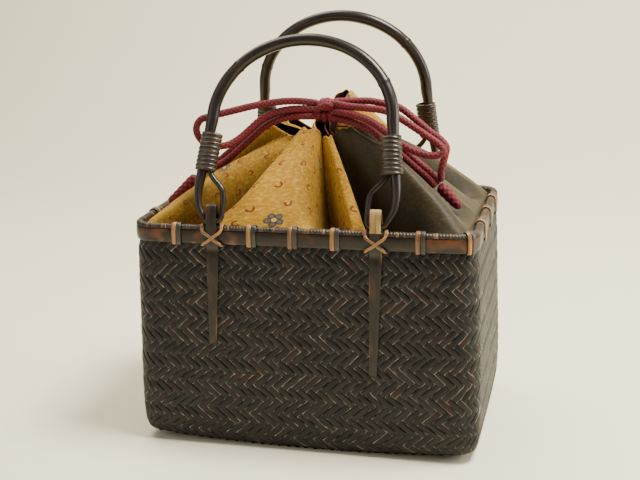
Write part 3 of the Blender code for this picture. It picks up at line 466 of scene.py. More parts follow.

# Basket wall. Strips of split bamboo 5 mm wide are plaited on the slant in a twill of three over
# and three under, which makes level rows of slanted pads. The bamboo is smoked dark brown and
# waxed, and its split edges are pale, with a painted glint added on them where a strip dives under
# the next. A near-black inner layer, whose colour is painted shade, closes the gaps behind the strips.
RIM_WIDTH = 0.285
RIM_DEPTH = 0.178
RIM_HEIGHT = 0.1913
RIM_CORNER = 0.020
BAND_TOP = 0.1875
BAND_FOOT = 0.1760
STRIPS_ROUND = 113
FLOOR_LIFT = 0.0055
WALL_HALF_WIDTH = 0.1400
WALL_HALF_DEPTH = 0.0865
WALL_CORNER = 0.0175
WALL_ROUND = 0.9655
GRAIN_SHIFT = 0.0137
STRIP_SINK = 0.0007
STRIP_SWING = 0.00050
STRIP_LOOSE = 0.00013


def runs_of(half_w, half_d, corner):
    flat_w, flat_d, arc = half_w - corner, half_d - corner, math.pi * corner / 2
    return np.cumsum([0, flat_w, arc, 2 * flat_d, arc, 2 * flat_w, arc, 2 * flat_d, arc, flat_w])


RIM_RUNS = runs_of(RIM_WIDTH / 2, RIM_DEPTH / 2, RIM_CORNER)


def plan_points(share, half_w, half_d, corner, stops=RIM_RUNS):
    """Places and outward ways on a rounded rectangle, by shares of the way round from the front."""
    at = (share % 1.0) * stops[-1]
    run = np.clip(np.searchsorted(stops, at, side="right") - 1, 0, 8)
    t = (at - stops[run]) / (stops[run + 1] - stops[run])
    turn = np.radians(-90 + 90 * ((run + 1) // 2) - np.where(run % 2 == 1, 90 * (1 - t), 0))
    flat_w, flat_d = half_w - corner, half_d - corner
    one = np.ones_like(t)
    x = flat_w * np.choose(run, [t, one, one, one, 1 - 2 * t, -one, -one, -one, t - 1])
    y = flat_d * np.choose(run, [-one, -one, 2 * t - 1, one, one, one, 1 - 2 * t, -one, -one])
    return x + corner * np.cos(turn), y + corner * np.sin(turn), np.cos(turn), np.sin(turn)


def rim_points(share, inset):
    """Places and outward ways on the rim's outline, drawn in by an inset."""
    return plan_points(share, RIM_WIDTH / 2 - inset, RIM_DEPTH / 2 - inset, RIM_CORNER - inset)


# Height up the wall, then its width, its depth and its corner's radius as shares of the rim's.
levels = np.array((
    (0.000, 0.966, 0.940, 0.52), (0.016, 0.998, 0.998, 0.62), (0.050, 1.018, 1.030, 0.74),
    (0.130, 1.029, 1.049, 0.86), (0.270, 1.032, 1.054, 0.98), (0.450, 1.029, 1.048, 1.10),
    (0.830, 1.017, 1.028, 1.14), (0.908, 1.010, 1.015, 1.04), (0.935, 1.000, 1.000, 1.00),
    (1.000, 1.000, 1.000, 1.00)))
fine_levels = np.linspace(0, 1, 600)
softened = [fine_levels]
for column in (1, 2, 3):
    raw = np.interp(fine_levels, levels[:, 0], levels[:, column])
    padded = np.concatenate([2 * raw[0] - raw[9:0:-1], raw, np.full(9, raw[-1])])
    softened.append(np.convolve(padded, np.ones(19) / 19, mode="valid"))
climb = lengths_along(np.stack([softened[2] * WALL_HALF_DEPTH, fine_levels * BAND_TOP], axis=-1))


def floor_rise(x, y, half_w, half_d):
    """How far the floor lifts toward its corners."""
    return FLOOR_LIFT * np.abs(x / half_w) ** 2.2 * np.abs(y / half_d) ** 2.2


def wall_points(share, upward, out):
    """Points of the wall by share of the way round, distance up its face and distance outward."""
    level = np.interp(upward, climb, fine_levels)
    half_w = WALL_HALF_WIDTH * np.interp(level, fine_levels, softened[1])
    half_d = WALL_HALF_DEPTH * np.interp(level, fine_levels, softened[2])
    corner = np.maximum(WALL_CORNER * np.interp(level, fine_levels, softened[3]), 0.004)
    x, y, way_x, way_y = plan_points(share, half_w, half_d, corner)
    z = level * BAND_TOP
    z = z + floor_rise(x, y, half_w, half_d) * np.maximum(0, 1 - level / 0.22)
    ahead = np.interp(upward + 0.001, climb, fine_levels)
    spread = (np.interp(ahead, fine_levels, softened[2])
              - np.interp(level, fine_levels, softened[2])) * WALL_HALF_DEPTH
    rise = np.maximum((ahead - level) * BAND_TOP, 1e-5)
    down = -spread / rise
    size = np.sqrt(1 + down * down)
    return np.stack([x + way_x * out / size, y + way_y * out / size, z + down * out / size], axis=-1)


def strips_piece(name, points, grain):
    """One mesh of many long strips: points by strip, along and across, with their grain places."""
    strips, along, across = points.shape[:3]
    index = np.arange(strips * along * across).reshape(strips, along, across)
    corners = (index[:, :-1, :-1], index[:, :-1, 1:], index[:, 1:, 1:], index[:, 1:, :-1])
    quads = np.stack(corners, axis=-1)
    mesh = bpy.data.meshes.new(name)
    mesh.from_pydata(points.reshape(-1, 3).tolist(), [], quads.reshape(-1, 4).tolist())
    mesh.shade_smooth()
    piece = bpy.data.objects.new(name, mesh)
    bpy.context.scene.collection.objects.link(piece)
    store(piece, "grain", grain.reshape(-1, 3))
    return piece


# Bamboo: long fibres along each strip, a tone of its own for each strip and a pale split edge,
# worn in patches and brightened by a painted glint toward the ends of the floats.
bamboo, given, result = new_group("bamboo", (
    ("Dark", "NodeSocketColor", (0.02, 0.015, 0.012, 1)),
    ("Light", "NodeSocketColor", (0.1, 0.08, 0.06, 1)),
    ("Warm", "NodeSocketColor", (0.12, 0.06, 0.03, 1)), ("Edge", "NodeSocketColor", (0.3, 0.28, 0.24, 1)),
    ("Edge Amount", "NodeSocketFloat", 1.0), ("Dive Glint Amount", "NodeSocketFloat", 0.0)), (
    ("Colour", "NodeSocketColor"), ("Height", "NodeSocketFloat"), ("Roughness", "NodeSocketFloat")))
kept = kept_value(bamboo, "grain")
parts = bamboo.nodes.new("ShaderNodeSeparateXYZ")
link(bamboo, kept.outputs["Vector"], parts.inputs[0])
fibre = noise_node(bamboo, stretched(bamboo, kept.outputs["Vector"], (60.0, 2.6, 900.0)), 1.0, 4.0, 0.6)
patch = noise_node(bamboo, stretched(bamboo, kept.outputs["Vector"], (35.0, 0.7, 500.0)), 1.0, 2.0)
tone = noise_node(bamboo, stretched(bamboo, kept.outputs["Vector"], (0.0, 0.0, 900.0)), 1.0, 0.0)
light = math_node(bamboo, "ADD", math_node(bamboo, "MULTIPLY_ADD", fibre, 1.5, -0.45),
                  math_node(bamboo, "MULTIPLY_ADD", tone, 1.2, -0.6))
body = colour_mix(bamboo, held(bamboo, light), given.outputs["Dark"], given.outputs["Light"])
body = colour_mix(bamboo, ranged(bamboo, patch, 0.56, 0.70), body, given.outputs["Warm"])
rim_side = math_node(bamboo, "ABSOLUTE", math_node(bamboo, "MULTIPLY_ADD", parts.outputs["Y"], 2.0, -1.0))
# Painted glint: the pale edge grows toward each float's end, where the strip dives under the next.
diving = kept_value(bamboo, "dive")
painted_dive_glint = math_node(bamboo, "MULTIPLY", math_node(bamboo, "POWER", diving.outputs["Fac"], 1.5),
                  given.outputs["Dive Glint Amount"])
wear_and_dive_glint = math_node(bamboo, "ADD", math_node(bamboo, "MULTIPLY_ADD", patch, 3.4, -1.9), painted_dive_glint)
edge_share = math_node(bamboo, "MULTIPLY", ranged(bamboo, rim_side, 0.74, 0.93, smooth=True),
                       math_node(bamboo, "MULTIPLY", given.outputs["Edge Amount"], wear_and_dive_glint))
link(bamboo, colour_mix(bamboo, held(bamboo, edge_share), body, given.outputs["Edge"]),
     result.inputs["Colour"])
link(bamboo, fibre, result.inputs["Height"])
link(bamboo, math_node(bamboo, "MULTIPLY_ADD", patch, 0.30, 0.34), result.inputs["Roughness"])


def bamboo_material(name, dark, light, warm, edge, amount, depth, coat, dive=0.5):
    material, tree, shader = blank_material(name, 0.4)
    grained = tree.nodes.new("ShaderNodeGroup")
    grained.node_tree = bamboo
    for socket, colour in (("Dark", dark), ("Light", light), ("Warm", warm), ("Edge", edge)):
        grained.inputs[socket].default_value = (*colour, 1.0)
    grained.inputs["Edge Amount"].default_value = amount
    grained.inputs["Dive Glint Amount"].default_value = dive
    link(tree, grained.outputs["Colour"], shader.inputs["Base Color"])
    link(tree, grained.outputs["Roughness"], shader.inputs["Roughness"])
    link(tree, bump_node(tree, grained.outputs["Height"], depth, 0.7), shader.inputs["Normal"])
    shader.inputs["Coat Weight"].default_value = coat
    shader.inputs["Coat Roughness"].default_value = 0.25
    shader.inputs["Specular IOR Level"].default_value = 0.24
    return material


# The pale edge colour is partly the split edge's own tone and partly a painted glint, full at the dives.
smoked = bamboo_material("smoked bamboo strips", (0.003, 0.0025, 0.0024), (0.024, 0.0195, 0.0185),
                         (0.028, 0.011, 0.007), (0.62, 0.62, 0.56), 0.9, 0.00016, 0.0, 1.0)
span = RIM_RUNS[-1] * WALL_ROUND / STRIPS_ROUND
across = np.array((0.015, 0.055, 0.20, 0.80, 0.945, 0.985))
crown = np.array((-0.00060, -0.00016, 0.00014, 0.00014, -0.00016, -0.00060))
steps = int(2 * climb[-1] / span * 3) + 1
for name, way in (("weave_rising", 1), ("weave_falling", -1)):
    strip = np.arange(STRIPS_ROUND)[:, None, None]
    run = np.linspace(0, 2 * climb[-1] / span, steps)[None, :, None]
    wide = strip + across[None, None, :]
    other = run - wide
    if way > 0:
        first, second, over = wide, other, 1.0
    else:
        first, second, over = other, wide, -1.0
    upward = np.clip((first + second) * span / 2, 0.0, climb[-1])
    share = (first - second) * span / 2 / (RIM_RUNS[-1] * WALL_ROUND)
    wave = np.sin(math.pi * ((strip + other) / 3))
    rise = over * np.sign(wave) * np.abs(wave) ** 0.6
    loose = STRIP_LOOSE * np.sin(strip * 12.9898 + way)
    out = -STRIP_SINK + STRIP_SWING * rise + crown[None, None, :] + loose
    points = wall_points(share + 0 * out, upward + 0 * out, out)
    grain = np.stack([run * span * 0.7 + 0 * out, across[None, None, :] + 0 * out,
                      (strip * GRAIN_SHIFT + (0.5 if way > 0 else 0.0)) + 0 * out], axis=-1)
    piece = strips_piece(name, points, grain)
    # Where each strip dives under the next; the material paints a glint on the edge there.
    store(piece, "dive", np.clip(1 - np.abs(wave) + 0 * out, 0, 1).ravel())
    piece.data.materials.append(smoked)
    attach(piece, "root")

# Inner layer of the wall: one closed near-black shell behind the strips, wall and floor together.
# Its colour is painted shade, standing in for the dark inside of the basket seen through the gaps.
shell_rows = [(-0.0013, u) for u in np.linspace(0, climb[-1], 60)]
shell_rows += [(-0.0026, u) for u in np.linspace(climb[-1], 0.004, 30)]


def shell_shape(u, v):
    row = np.clip(np.rint(v * (len(shell_rows) + 5)).astype(int), 0, len(shell_rows) + 5)
    table = np.array([(-0.0013, 0.0)] * 3 + shell_rows + [(-0.0026, 0.004)] * 3)
    points = wall_points(u, table[row, 1], table[row, 0])
    for edge_row, share in ((0, 0.0), (1, 0.5), (2, 0.97), (len(table) - 3, 0.97), (len(table) - 2, 0.5),
                            (len(table) - 1, 0.0)):
        here = row == edge_row
        points[here, :2] *= share
        points[here, 2] = floor_rise(points[here, 0], points[here, 1], 0.135, 0.081)
        points[here, 2] += 0.0015 if edge_row < 3 else 0.0032
    return points


shell = grid_piece("basket_shade_shell", 160, len(shell_rows) + 5, shell_shape)
close_seams()
# Painted shade: the near-black colour stands for the shadowed inside behind the strips.
shade_shell_material, tree, shader = blank_material("painted shade shell", 0.7)
spot = tree.nodes.new("ShaderNodeTexCoord").outputs["Object"]
link(tree, colour_mix(tree, noise_node(tree, spot, 300.0), (0.006, 0.005, 0.004), (0.016, 0.013, 0.010)),
     shader.inputs["Base Color"])
shell.data.materials.append(shade_shell_material)
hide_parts("basket_body")
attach(shell, "root")

# Floor of the basket: the same strips run on under it, in the same twill.
floor_w, floor_d = 0.1352, 0.0811
for name, way in (("floor_rising", 1), ("floor_falling", -1)):
    count = int((floor_w + floor_d) / span) + 1
    strip = np.arange(-count, count)[:, None, None]
    low = np.maximum(-2 * floor_w / span - strip, strip - 2 * floor_d / span) + 0.3
    high = np.minimum(2 * floor_w / span - strip - 1, strip + 2 * floor_d / span + 1) - 0.3
    keep = (high - low)[:, 0, 0] > 1.0
    strip, low, high = strip[keep], low[keep], high[keep]
    run = low + (high - low) * np.linspace(0, 1, 120)[None, :, None]
    wide = strip + across[None, None, :] + 0 * run
    x = (wide + run) * span / 2
    y = way * (wide - run) * span / 2
    rise = way * np.clip(1.9 * np.sin(math.pi * (strip + run) / 3), -1, 1)
    z = 0.00062 + floor_rise(x, y, floor_w, floor_d) - 0.00032 * rise - crown[None, None, :] * 0.6
    z = np.maximum(z, 0.0001)
    grain = np.stack([run * span * 0.7 + 0 * x, across[None, None, :] + 0 * x,
                      strip * GRAIN_SHIFT + 0 * x], axis=-1)
    piece = strips_piece(name, np.stack([x, y, z], axis=-1), grain)
    piece.data.materials.append(smoked)
    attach(piece, "root")

# Rim hoops. Two bent slats of bamboo clamp the wall's edge between them. The outer one shows
# orange fibres through its dark stain, and its lower edge is worn pale.
hoop_bamboo = bamboo_material("stained bamboo hoop", (0.006, 0.004, 0.003), (0.040, 0.022, 0.012),
                              (0.15, 0.052, 0.018), (0.36, 0.21, 0.10), 0.8, 0.00008, 0.25)


def hoop_piece(name, profile, edges, count=420):
    """A slat bent round the rim, from a closed profile of insets and heights."""
    profile = np.array(profile + [profile[0]])
    edges = np.array(edges + [edges[0]])

    def shape(u, v):
        row = np.rint(u * (len(profile) - 1)).astype(int)
        inset, height = profile[row, 0], profile[row, 1]
        x, y, _, _ = rim_points(v, inset)
        shape.grain = np.stack([v * RIM_RUNS[-1], edges[row], 0.31 + 0 * v], axis=-1)
        return np.stack([x, y, height], axis=-1)

    piece = grid_piece(name, len(profile) - 1, count, shape)
    store(piece, "grain", shape.grain)
    piece.data.materials.append(hoop_bamboo)
    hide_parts(name.replace("hoop", "band"))
    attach(piece, "root")


middle = (BAND_FOOT + BAND_TOP) / 2
hoop_half = [(0.0022, 0.0004), (0.0016, 0.0), (0.0009, 0.0001), (0.0005, 0.0008), (0.0003, 0.0022)]
hoop_piece("rim_hoop_outer", [
    *((inset, BAND_FOOT + up) for inset, up in hoop_half),
    (0.0001, middle - 0.0015), (0.0001, middle + 0.0015),
    *((inset, BAND_TOP - down) for inset, down in reversed(hoop_half))],
    [0.0, 0.0, 0.02, 0.06, 0.16, 0.40, 0.52, 0.68, 0.74, 0.80, 0.84, 0.84])
inner_near = 0.0054
hoop_piece("rim_hoop_inner", [
    (inner_near, BAND_FOOT + 0.0003), (inner_near, BAND_TOP - 0.0003), (inner_near + 0.0006, BAND_TOP),
    (inner_near + 0.0015, BAND_TOP), (inner_near + 0.0020, BAND_TOP - 0.0005),
    (inner_near + 0.0020, BAND_FOOT + 0.0005), (inner_near + 0.0015, BAND_FOOT),
    (inner_near + 0.0005, BAND_FOOT)], [0.3, 0.7, 0.8, 0.85, 0.8, 0.2, 0.1, 0.2], 300)

# Rim roll. A core on top of the wall's edge is bound over and over with slanted turns of split
# cane, about 2.5 mm apart. The turns are dark, with worn tan crowns.
ROLL_HEIGHT = 0.0035
ROLL_WIDTH = 0.0066
ROLL_MIDDLE = 0.0037
ROLL_TURNS = 350


def roll_shape(u, v):
    turn = math.pi * (1.12 * u - 0.06)
    wound = v * ROLL_TURNS + 0.55 * u
    stroke = wound % 1.0
    relief = np.abs(np.sin(math.pi * stroke)) ** 0.6
    shrink = 0.00055 * (1 - relief)
    inset = ROLL_MIDDLE - (ROLL_WIDTH / 2 - shrink) * np.cos(turn)
    height = RIM_HEIGHT - ROLL_HEIGHT + (ROLL_HEIGHT - shrink) * np.maximum(np.sin(turn), 0.02)
    x, y, _, _ = rim_points(v, inset)
    roll_shape.grain = np.stack([u * 0.012, stroke, GRAIN_SHIFT * np.floor(wound)], axis=-1)
    return np.stack([x, y, height], axis=-1)


roll = grid_piece("rim_roll_binding", 14, ROLL_TURNS * 6, roll_shape)
store(roll, "grain", roll_shape.grain)
roll_cane = bamboo_material("cane binding of the roll", (0.008, 0.005, 0.003), (0.085, 0.052, 0.026),
                            (0.22, 0.125, 0.055), (0.006, 0.004, 0.003), 1.0, 0.00004, 0.3)
roll.data.materials.append(roll_cane)
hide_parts("rim_roll")
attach(roll, "root")

# Rim ties. Eighteen split ties of two strands each straddle both hoops and the roll. The left
# strand is bright tan cane and the right one dark, and a narrow V of shadow parts them.
TIE_THICK = 0.0010


def ribbon(name, centres, across, outward, width, thick, band, seed, rounding, sides=14):
    """A long flat strand with rounded edges along centre points, with its grain places."""
    count = len(centres)
    width, thick = np.broadcast_to(width, count), np.broadcast_to(thick, count)
    lengths = lengths_along(centres)

    def shape(u, v):
        row = np.clip(np.rint(v * (count + 1)).astype(int) - 1, 0, count - 1)
        shut = (np.rint(v * (count + 1)).astype(int) % (count + 1) == 0).astype(float)
        turn = 2 * math.pi * u
        wide, high = [np.sign(part) * np.abs(part) ** (2 / rounding) * size[row] / 2 * (1 - shut)
                      for part, size in ((np.cos(turn), width), (np.sin(turn), thick))]
        shape.grain = np.stack([lengths[row], 0.5 + wide / width[row], seed + 0 * u], axis=-1)
        shape.band = band + 0 * u
        return centres[row] + across[row] * wide[:, None] + outward[row] * high[:, None]

    piece = grid_piece(name, sides, count + 1, shape)
    store(piece, "grain", shape.grain)
    store(piece, "strand", shape.band)
    return piece


def joined(name, pieces):
    bpy.ops.object.select_all(action="DESELECT")
    for piece in pieces:
        piece.select_set(True)
    bpy.context.view_layer.objects.active = pieces[0]
    bpy.ops.object.join()
    pieces[0].name = name
    pieces[0].data.name = name
    return pieces[0]


def saddle_line(thick):
    """Side view of a strand that straddles the rim: insets, heights and outward ways."""
    half = thick / 2 + 0.0003
    low = BAND_FOOT - half
    line = [(0.0014, low), (0.0004, low - 0.0001), (-half * 0.6, low + half * 0.3),
            (-half, BAND_FOOT + 0.0010)]
    line += [(-half - 0.0001, BAND_FOOT + share * 0.0115) for share in (0.3, 0.5, 0.7, 0.9)]
    for turn in range(15, 166, 15):
        line.append((ROLL_MIDDLE - (ROLL_WIDTH / 2 + half) * math.cos(math.radians(turn)),
                     RIM_HEIGHT - ROLL_HEIGHT + (ROLL_HEIGHT + half) * math.sin(math.radians(turn))))
    far = inner_near + 0.0020
    line += [(far + half, BAND_TOP - 0.001), (far + half, middle), (far + half, BAND_FOOT),
             (far + 0.0001, low), (far - 0.0010, low)]
    line = np.array(line)
    ways = np.gradient(line, axis=0)
    ways /= np.linalg.norm(ways, axis=1)[:, None]
    return line, ways


tie_cane, tree, shader = blank_material("split cane ties", 0.42)
strand = kept_value(tree, "strand")
pale = tree.nodes.new("ShaderNodeGroup")
dark = tree.nodes.new("ShaderNodeGroup")
for node, colours in (
        (pale, ((0.10, 0.040, 0.010), (0.55, 0.28, 0.085), (0.46, 0.16, 0.030), (0.03, 0.012, 0.005))),
        (dark, ((0.008, 0.006, 0.004), (0.055, 0.046, 0.032), (0.06, 0.03, 0.015),
                (0.008, 0.006, 0.004)))):
    node.node_tree = bamboo
    for socket, colour in zip(("Dark", "Light", "Warm", "Edge"), colours):
        node.inputs[socket].default_value = (*colour, 1.0)
    node.inputs["Edge Amount"].default_value = 0.7
link(tree, colour_mix(tree, strand.outputs["Fac"], pale.outputs["Colour"], dark.outputs["Colour"]),
     shader.inputs["Base Color"])
link(tree, pale.outputs["Roughness"], shader.inputs["Roughness"])
link(tree, bump_node(tree, pale.outputs["Height"], 0.00010, 0.8), shader.inputs["Normal"])
shader.inputs["Coat Weight"].default_value = 0.25

tie_line, tie_ways = saddle_line(TIE_THICK)
flat_w, flat_d, arc = RIM_WIDTH / 2 - RIM_CORNER, RIM_DEPTH / 2 - RIM_CORNER, math.pi * RIM_CORNER / 2
tie_spots = [-0.1010, -0.0378, -0.0039, 0.0306, 0.0982]
tie_spots += [flat_w + arc / 2, 3 * flat_w + 2 * flat_d + 2.5 * arc]
tie_spots += [flat_w + 2 * arc + 2 * flat_d + flat_w - x
              for x in (-0.1040, -0.0330, 0.0020, 0.0360, 0.1000)]
tie_spots += [-flat_w - arc - flat_d - y for y in (-0.0400, 0.0040, 0.0470)]
tie_spots += [flat_w + arc + flat_d + y for y in (-0.0400, 0.0040, 0.0470)]
for number, spot_along in enumerate(tie_spots, 1):
    strands = []
    for index, (shift, width, skew) in enumerate(((-0.0019, 0.0037, -0.0002), (0.0019, 0.0037, 0.0002))):
        side_shift = np.linspace(shift + skew, shift * 0.92, len(tie_line))
        share = (spot_along + side_shift) / RIM_RUNS[-1]
        inset, height = tie_line[:, 0], tie_line[:, 1]
        x, y, nx, ny = rim_points(share, inset)
        centres = np.stack([x, y, height], axis=-1)
        round_way = np.stack([-ny, nx, 0 * nx], axis=-1)
        along = np.stack([-nx * tie_ways[:, 0], -ny * tie_ways[:, 0], tie_ways[:, 1]], axis=-1)
        outward = np.cross(round_way, along)
        strands.append(ribbon(f"tie_strand_{number}_{index}", centres, round_way, outward, width,
                              TIE_THICK * 1.05, float(index), number * 0.031 + index * 0.5, 2.6))
    piece = joined(f"rim_tie_{number:02d}_strands", strands)
    piece.data.materials.append(tie_cane)
    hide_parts(f"rim_tie_{number:02d}")
    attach(piece, "root")

# Handles. Each is one rod of dark bent wood or lacquered cane, thick over the arch and thinner in
# its legs, and its ends are bent into eyes round the straps. The two lean towards each other.
PIVOT_Y = RIM_DEPTH / 2 - 0.0035
PIVOT_Z = RIM_HEIGHT + 0.0034
BAR_HALF_SPACING = 0.0668
ARCH_HALF_WIDTH = 0.0746
ARCH_RISE = 0.0677
ARCH_SPRING = 0.0830
ROD_RADIUS = 0.0050
LASH_TOP, LASH_FOOT = 0.0725, 0.0410
HANDLE_MIDDLE = {"front": -0.0038, "back": 0.0034}
HANDLE_LEAN = {"front": math.radians(24.0), "back": math.radians(7.4)}


def stand_up(where, across, up, out):
    """Points of a handle's plane in the bag's frame; out is measured square to the plane."""
    side = -1 if where == "front" else 1
    lean = HANDLE_LEAN[where]
    return np.stack([HANDLE_MIDDLE[where] + across,
                     side * (PIVOT_Y - up * math.sin(lean) + out * math.cos(lean)),
                     PIVOT_Z + up * math.cos(lean) + out * math.sin(lean)], axis=-1)


def lash_line(up):
    return ARCH_HALF_WIDTH + 0.0047 * (ARCH_SPRING - up) / (ARCH_SPRING - LASH_FOOT)


lash_foot = np.array((lash_line(LASH_FOOT), LASH_FOOT))
lash_top = np.array((lash_line(LASH_TOP), LASH_TOP))
lash_along = (lash_top - lash_foot) / np.linalg.norm(lash_top - lash_foot)
lash_across = np.array((-lash_along[1], lash_along[0]))
beside = lash_across * 0.0070
tail_end = lash_foot + (lash_top - lash_foot) * 0.80 + beside
half_rod = [(*tail_end, 0.0022), (*(lash_foot + beside), 0.0022)]
half_rod += [(BAR_HALF_SPACING + a, up, r) for a, up, r in (
    (-0.0058, 0.0255, 0.00235), (-0.0072, 0.0185, 0.00235), (-0.0074, 0.0110, 0.00225),
    (-0.0073, 0.0052, 0.00215), (-0.0066, 0.0017, 0.00215), (-0.0047, 0.0001, 0.00215), (0, 0, 0.00215),
    (0.0049, 0.0001, 0.00215), (0.0070, 0.0014, 0.0022), (0.0088, 0.0045, 0.0023),
    (0.0112, 0.0085, 0.0025), (0.0133, 0.0135, 0.00275), (0.0142, 0.0200, 0.0031),
    (0.0141, 0.0280, 0.0036))]
half_rod += [(*lash_foot, 0.0042), (*lash_top, 0.0044)]
arch = [(ARCH_HALF_WIDTH * math.cos(turn), ARCH_SPRING + ARCH_RISE * math.sin(turn), ROD_RADIUS)
        for turn in np.linspace(0.0, math.pi, 19)]
rod_line = np.array(half_rod + arch + [(-a, up, r) for a, up, r in reversed(half_rod)])
line_lengths = lengths_along(rod_line[:, :2])
rod_path = spread_points([(a, up, 0.0) for a, up, _ in rod_line], 0.0012)
path_lengths = lengths_along(rod_path)
rod_thick = np.interp(path_lengths / path_lengths[-1], line_lengths / line_lengths[-1], rod_line[:, 2])

lacquer, tree, shader = blank_material("dark lacquered rod", 0.3)
kept = kept_value(tree, "grain")
streaks = noise_node(tree, stretched(tree, kept.outputs["Vector"], (22.0, 7.0, 60.0)), 1.0, 5.0, 0.6)
mottle = noise_node(tree, stretched(tree, kept.outputs["Vector"], (45.0, 2.0, 60.0)), 1.0, 3.0)
worn = ramp_node(tree, streaks, ((0.42, 0.0), (0.68, 1.0)))
link(tree, colour_mix(tree, worn,
                      colour_mix(tree, mottle, (0.003, 0.0022, 0.0018), (0.013, 0.008, 0.0055)),
                      (0.030, 0.020, 0.014)), shader.inputs["Base Color"])
link(tree, math_node(tree, "MULTIPLY_ADD", mottle, 0.26, 0.20), shader.inputs["Roughness"])
link(tree, bump_node(tree, streaks, 0.00025, 0.6), shader.inputs["Normal"])
shader.inputs["Specular IOR Level"].default_value = 0.35
shader.inputs["Coat Weight"].default_value = 0.12
shader.inputs["Coat Roughness"].default_value = 0.12

for where, node_rings in (("front", (0.36, 0.61)), ("back", (0.385, 0.66))):
    tangent = np.gradient(rod_path[:, :2], axis=0)
    tangent /= np.linalg.norm(tangent, axis=1)[:, None]
    share = path_lengths / path_lengths[-1]
    unevenness = np.sin(share * 61 + (2 if where == "back" else 0)) * np.sin(share * 23)
    thick = rod_thick * (1 + 0.025 * unevenness)
    for ring in node_rings:
        thick = thick + 0.00045 * np.exp(-((share - ring) * path_lengths[-1] / 0.0016) ** 2)

    def rod_shape(u, v):
        row = np.clip(np.rint(v * (len(rod_path) + 1)).astype(int) - 1, 0, len(rod_path) - 1)
        shut = np.rint(v * (len(rod_path) + 1)).astype(int) % (len(rod_path) + 1) == 0
        turn = 2 * math.pi * u
        reach = thick[row] * np.where(shut, 0.0, 1.0)
        rod_shape.grain = np.stack([path_lengths[row], np.abs(2 * u - 1) * 0.5, 0.7 + 0 * u], axis=-1)
        return stand_up(where, rod_path[row, 0] - tangent[row, 1] * reach * np.cos(turn),
                        rod_path[row, 1] + tangent[row, 0] * reach * np.cos(turn), reach * np.sin(turn))

    rod = grid_piece(f"handle_rod_{where}", 24, len(rod_path) + 1, rod_shape)
    store(rod, "grain", rod_shape.grain)
    rod.data.materials.append(lacquer)
    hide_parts(f"handle_{where}")
    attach(rod, f"handle_{where}")

# Lashings. Each eye's tail is bound to its leg with some nine close turns of flat dark cane,
# whose crowns are worn to silver and tan.
LASH_TURNS = 9
lash_cane, tree, shader = blank_material("dark cane lashing", 0.34, 0.3)
kept = kept_value(tree, "grain")
parts = tree.nodes.new("ShaderNodeSeparateXYZ")
link(tree, kept.outputs["Vector"], parts.inputs[0])
fibre = noise_node(tree, stretched(tree, kept.outputs["Vector"], (120.0, 9.0, 900.0)), 1.0, 4.0, 0.6)
crest = ramp_node(tree, parts.outputs["Y"], ((0.10, 0.0), (0.45, 1.0)))
worn = ramp_node(tree, fibre, ((0.47, 0.0), (0.66, 1.0)))
body = colour_mix(tree, crest, (0.0015, 0.001, 0.0008), (0.008, 0.0055, 0.004))
link(tree, colour_mix(tree, math_node(tree, "MULTIPLY", worn, crest), body, (0.12, 0.066, 0.030)),
     shader.inputs["Base Color"])
link(tree, bump_node(tree, fibre, 0.00012, 0.8), shader.inputs["Normal"])
shader.inputs["Coat Weight"].default_value = 0.3
for where in ("front", "back"):
    for side, hand in ((-1, "left"), (1, "right")):
        def lash_shape(u, v):
            turn = 2 * math.pi * u
            wound = v * LASH_TURNS + u
            stroke = wound % 1.0
            relief = np.abs(np.sin(math.pi * stroke)) ** 0.45
            ends = np.clip(np.minimum(v, 1 - v) / 0.012, 0, 1)
            grow = (0.0006 + 0.0011 * relief) * ends - 0.0002 * (1 - ends)
            centre_a = lash_foot[0] + (lash_top[0] - lash_foot[0]) * v + lash_across[0] * 0.0025
            centre_u = lash_foot[1] + (lash_top[1] - lash_foot[1]) * v + lash_across[1] * 0.0025
            wide = (0.0073 + grow) * np.cos(turn)
            high = (0.0045 + grow) * np.sin(turn)
            lash_shape.grain = np.stack([u * 0.037, relief, GRAIN_SHIFT * np.floor(wound)], axis=-1)
            return stand_up(where, side * (centre_a + lash_across[0] * wide),
                            centre_u + lash_across[1] * wide, high)

        lashing = grid_piece(f"lashing_turns_{where}_{hand}", 40, LASH_TURNS * 16, lash_shape)
        store(lashing, "grain", lash_shape.grain)
        lashing.data.materials.append(lash_cane)
        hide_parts(f"lashing_{where}_{hand}")
        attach(lashing, f"handle_{where}")

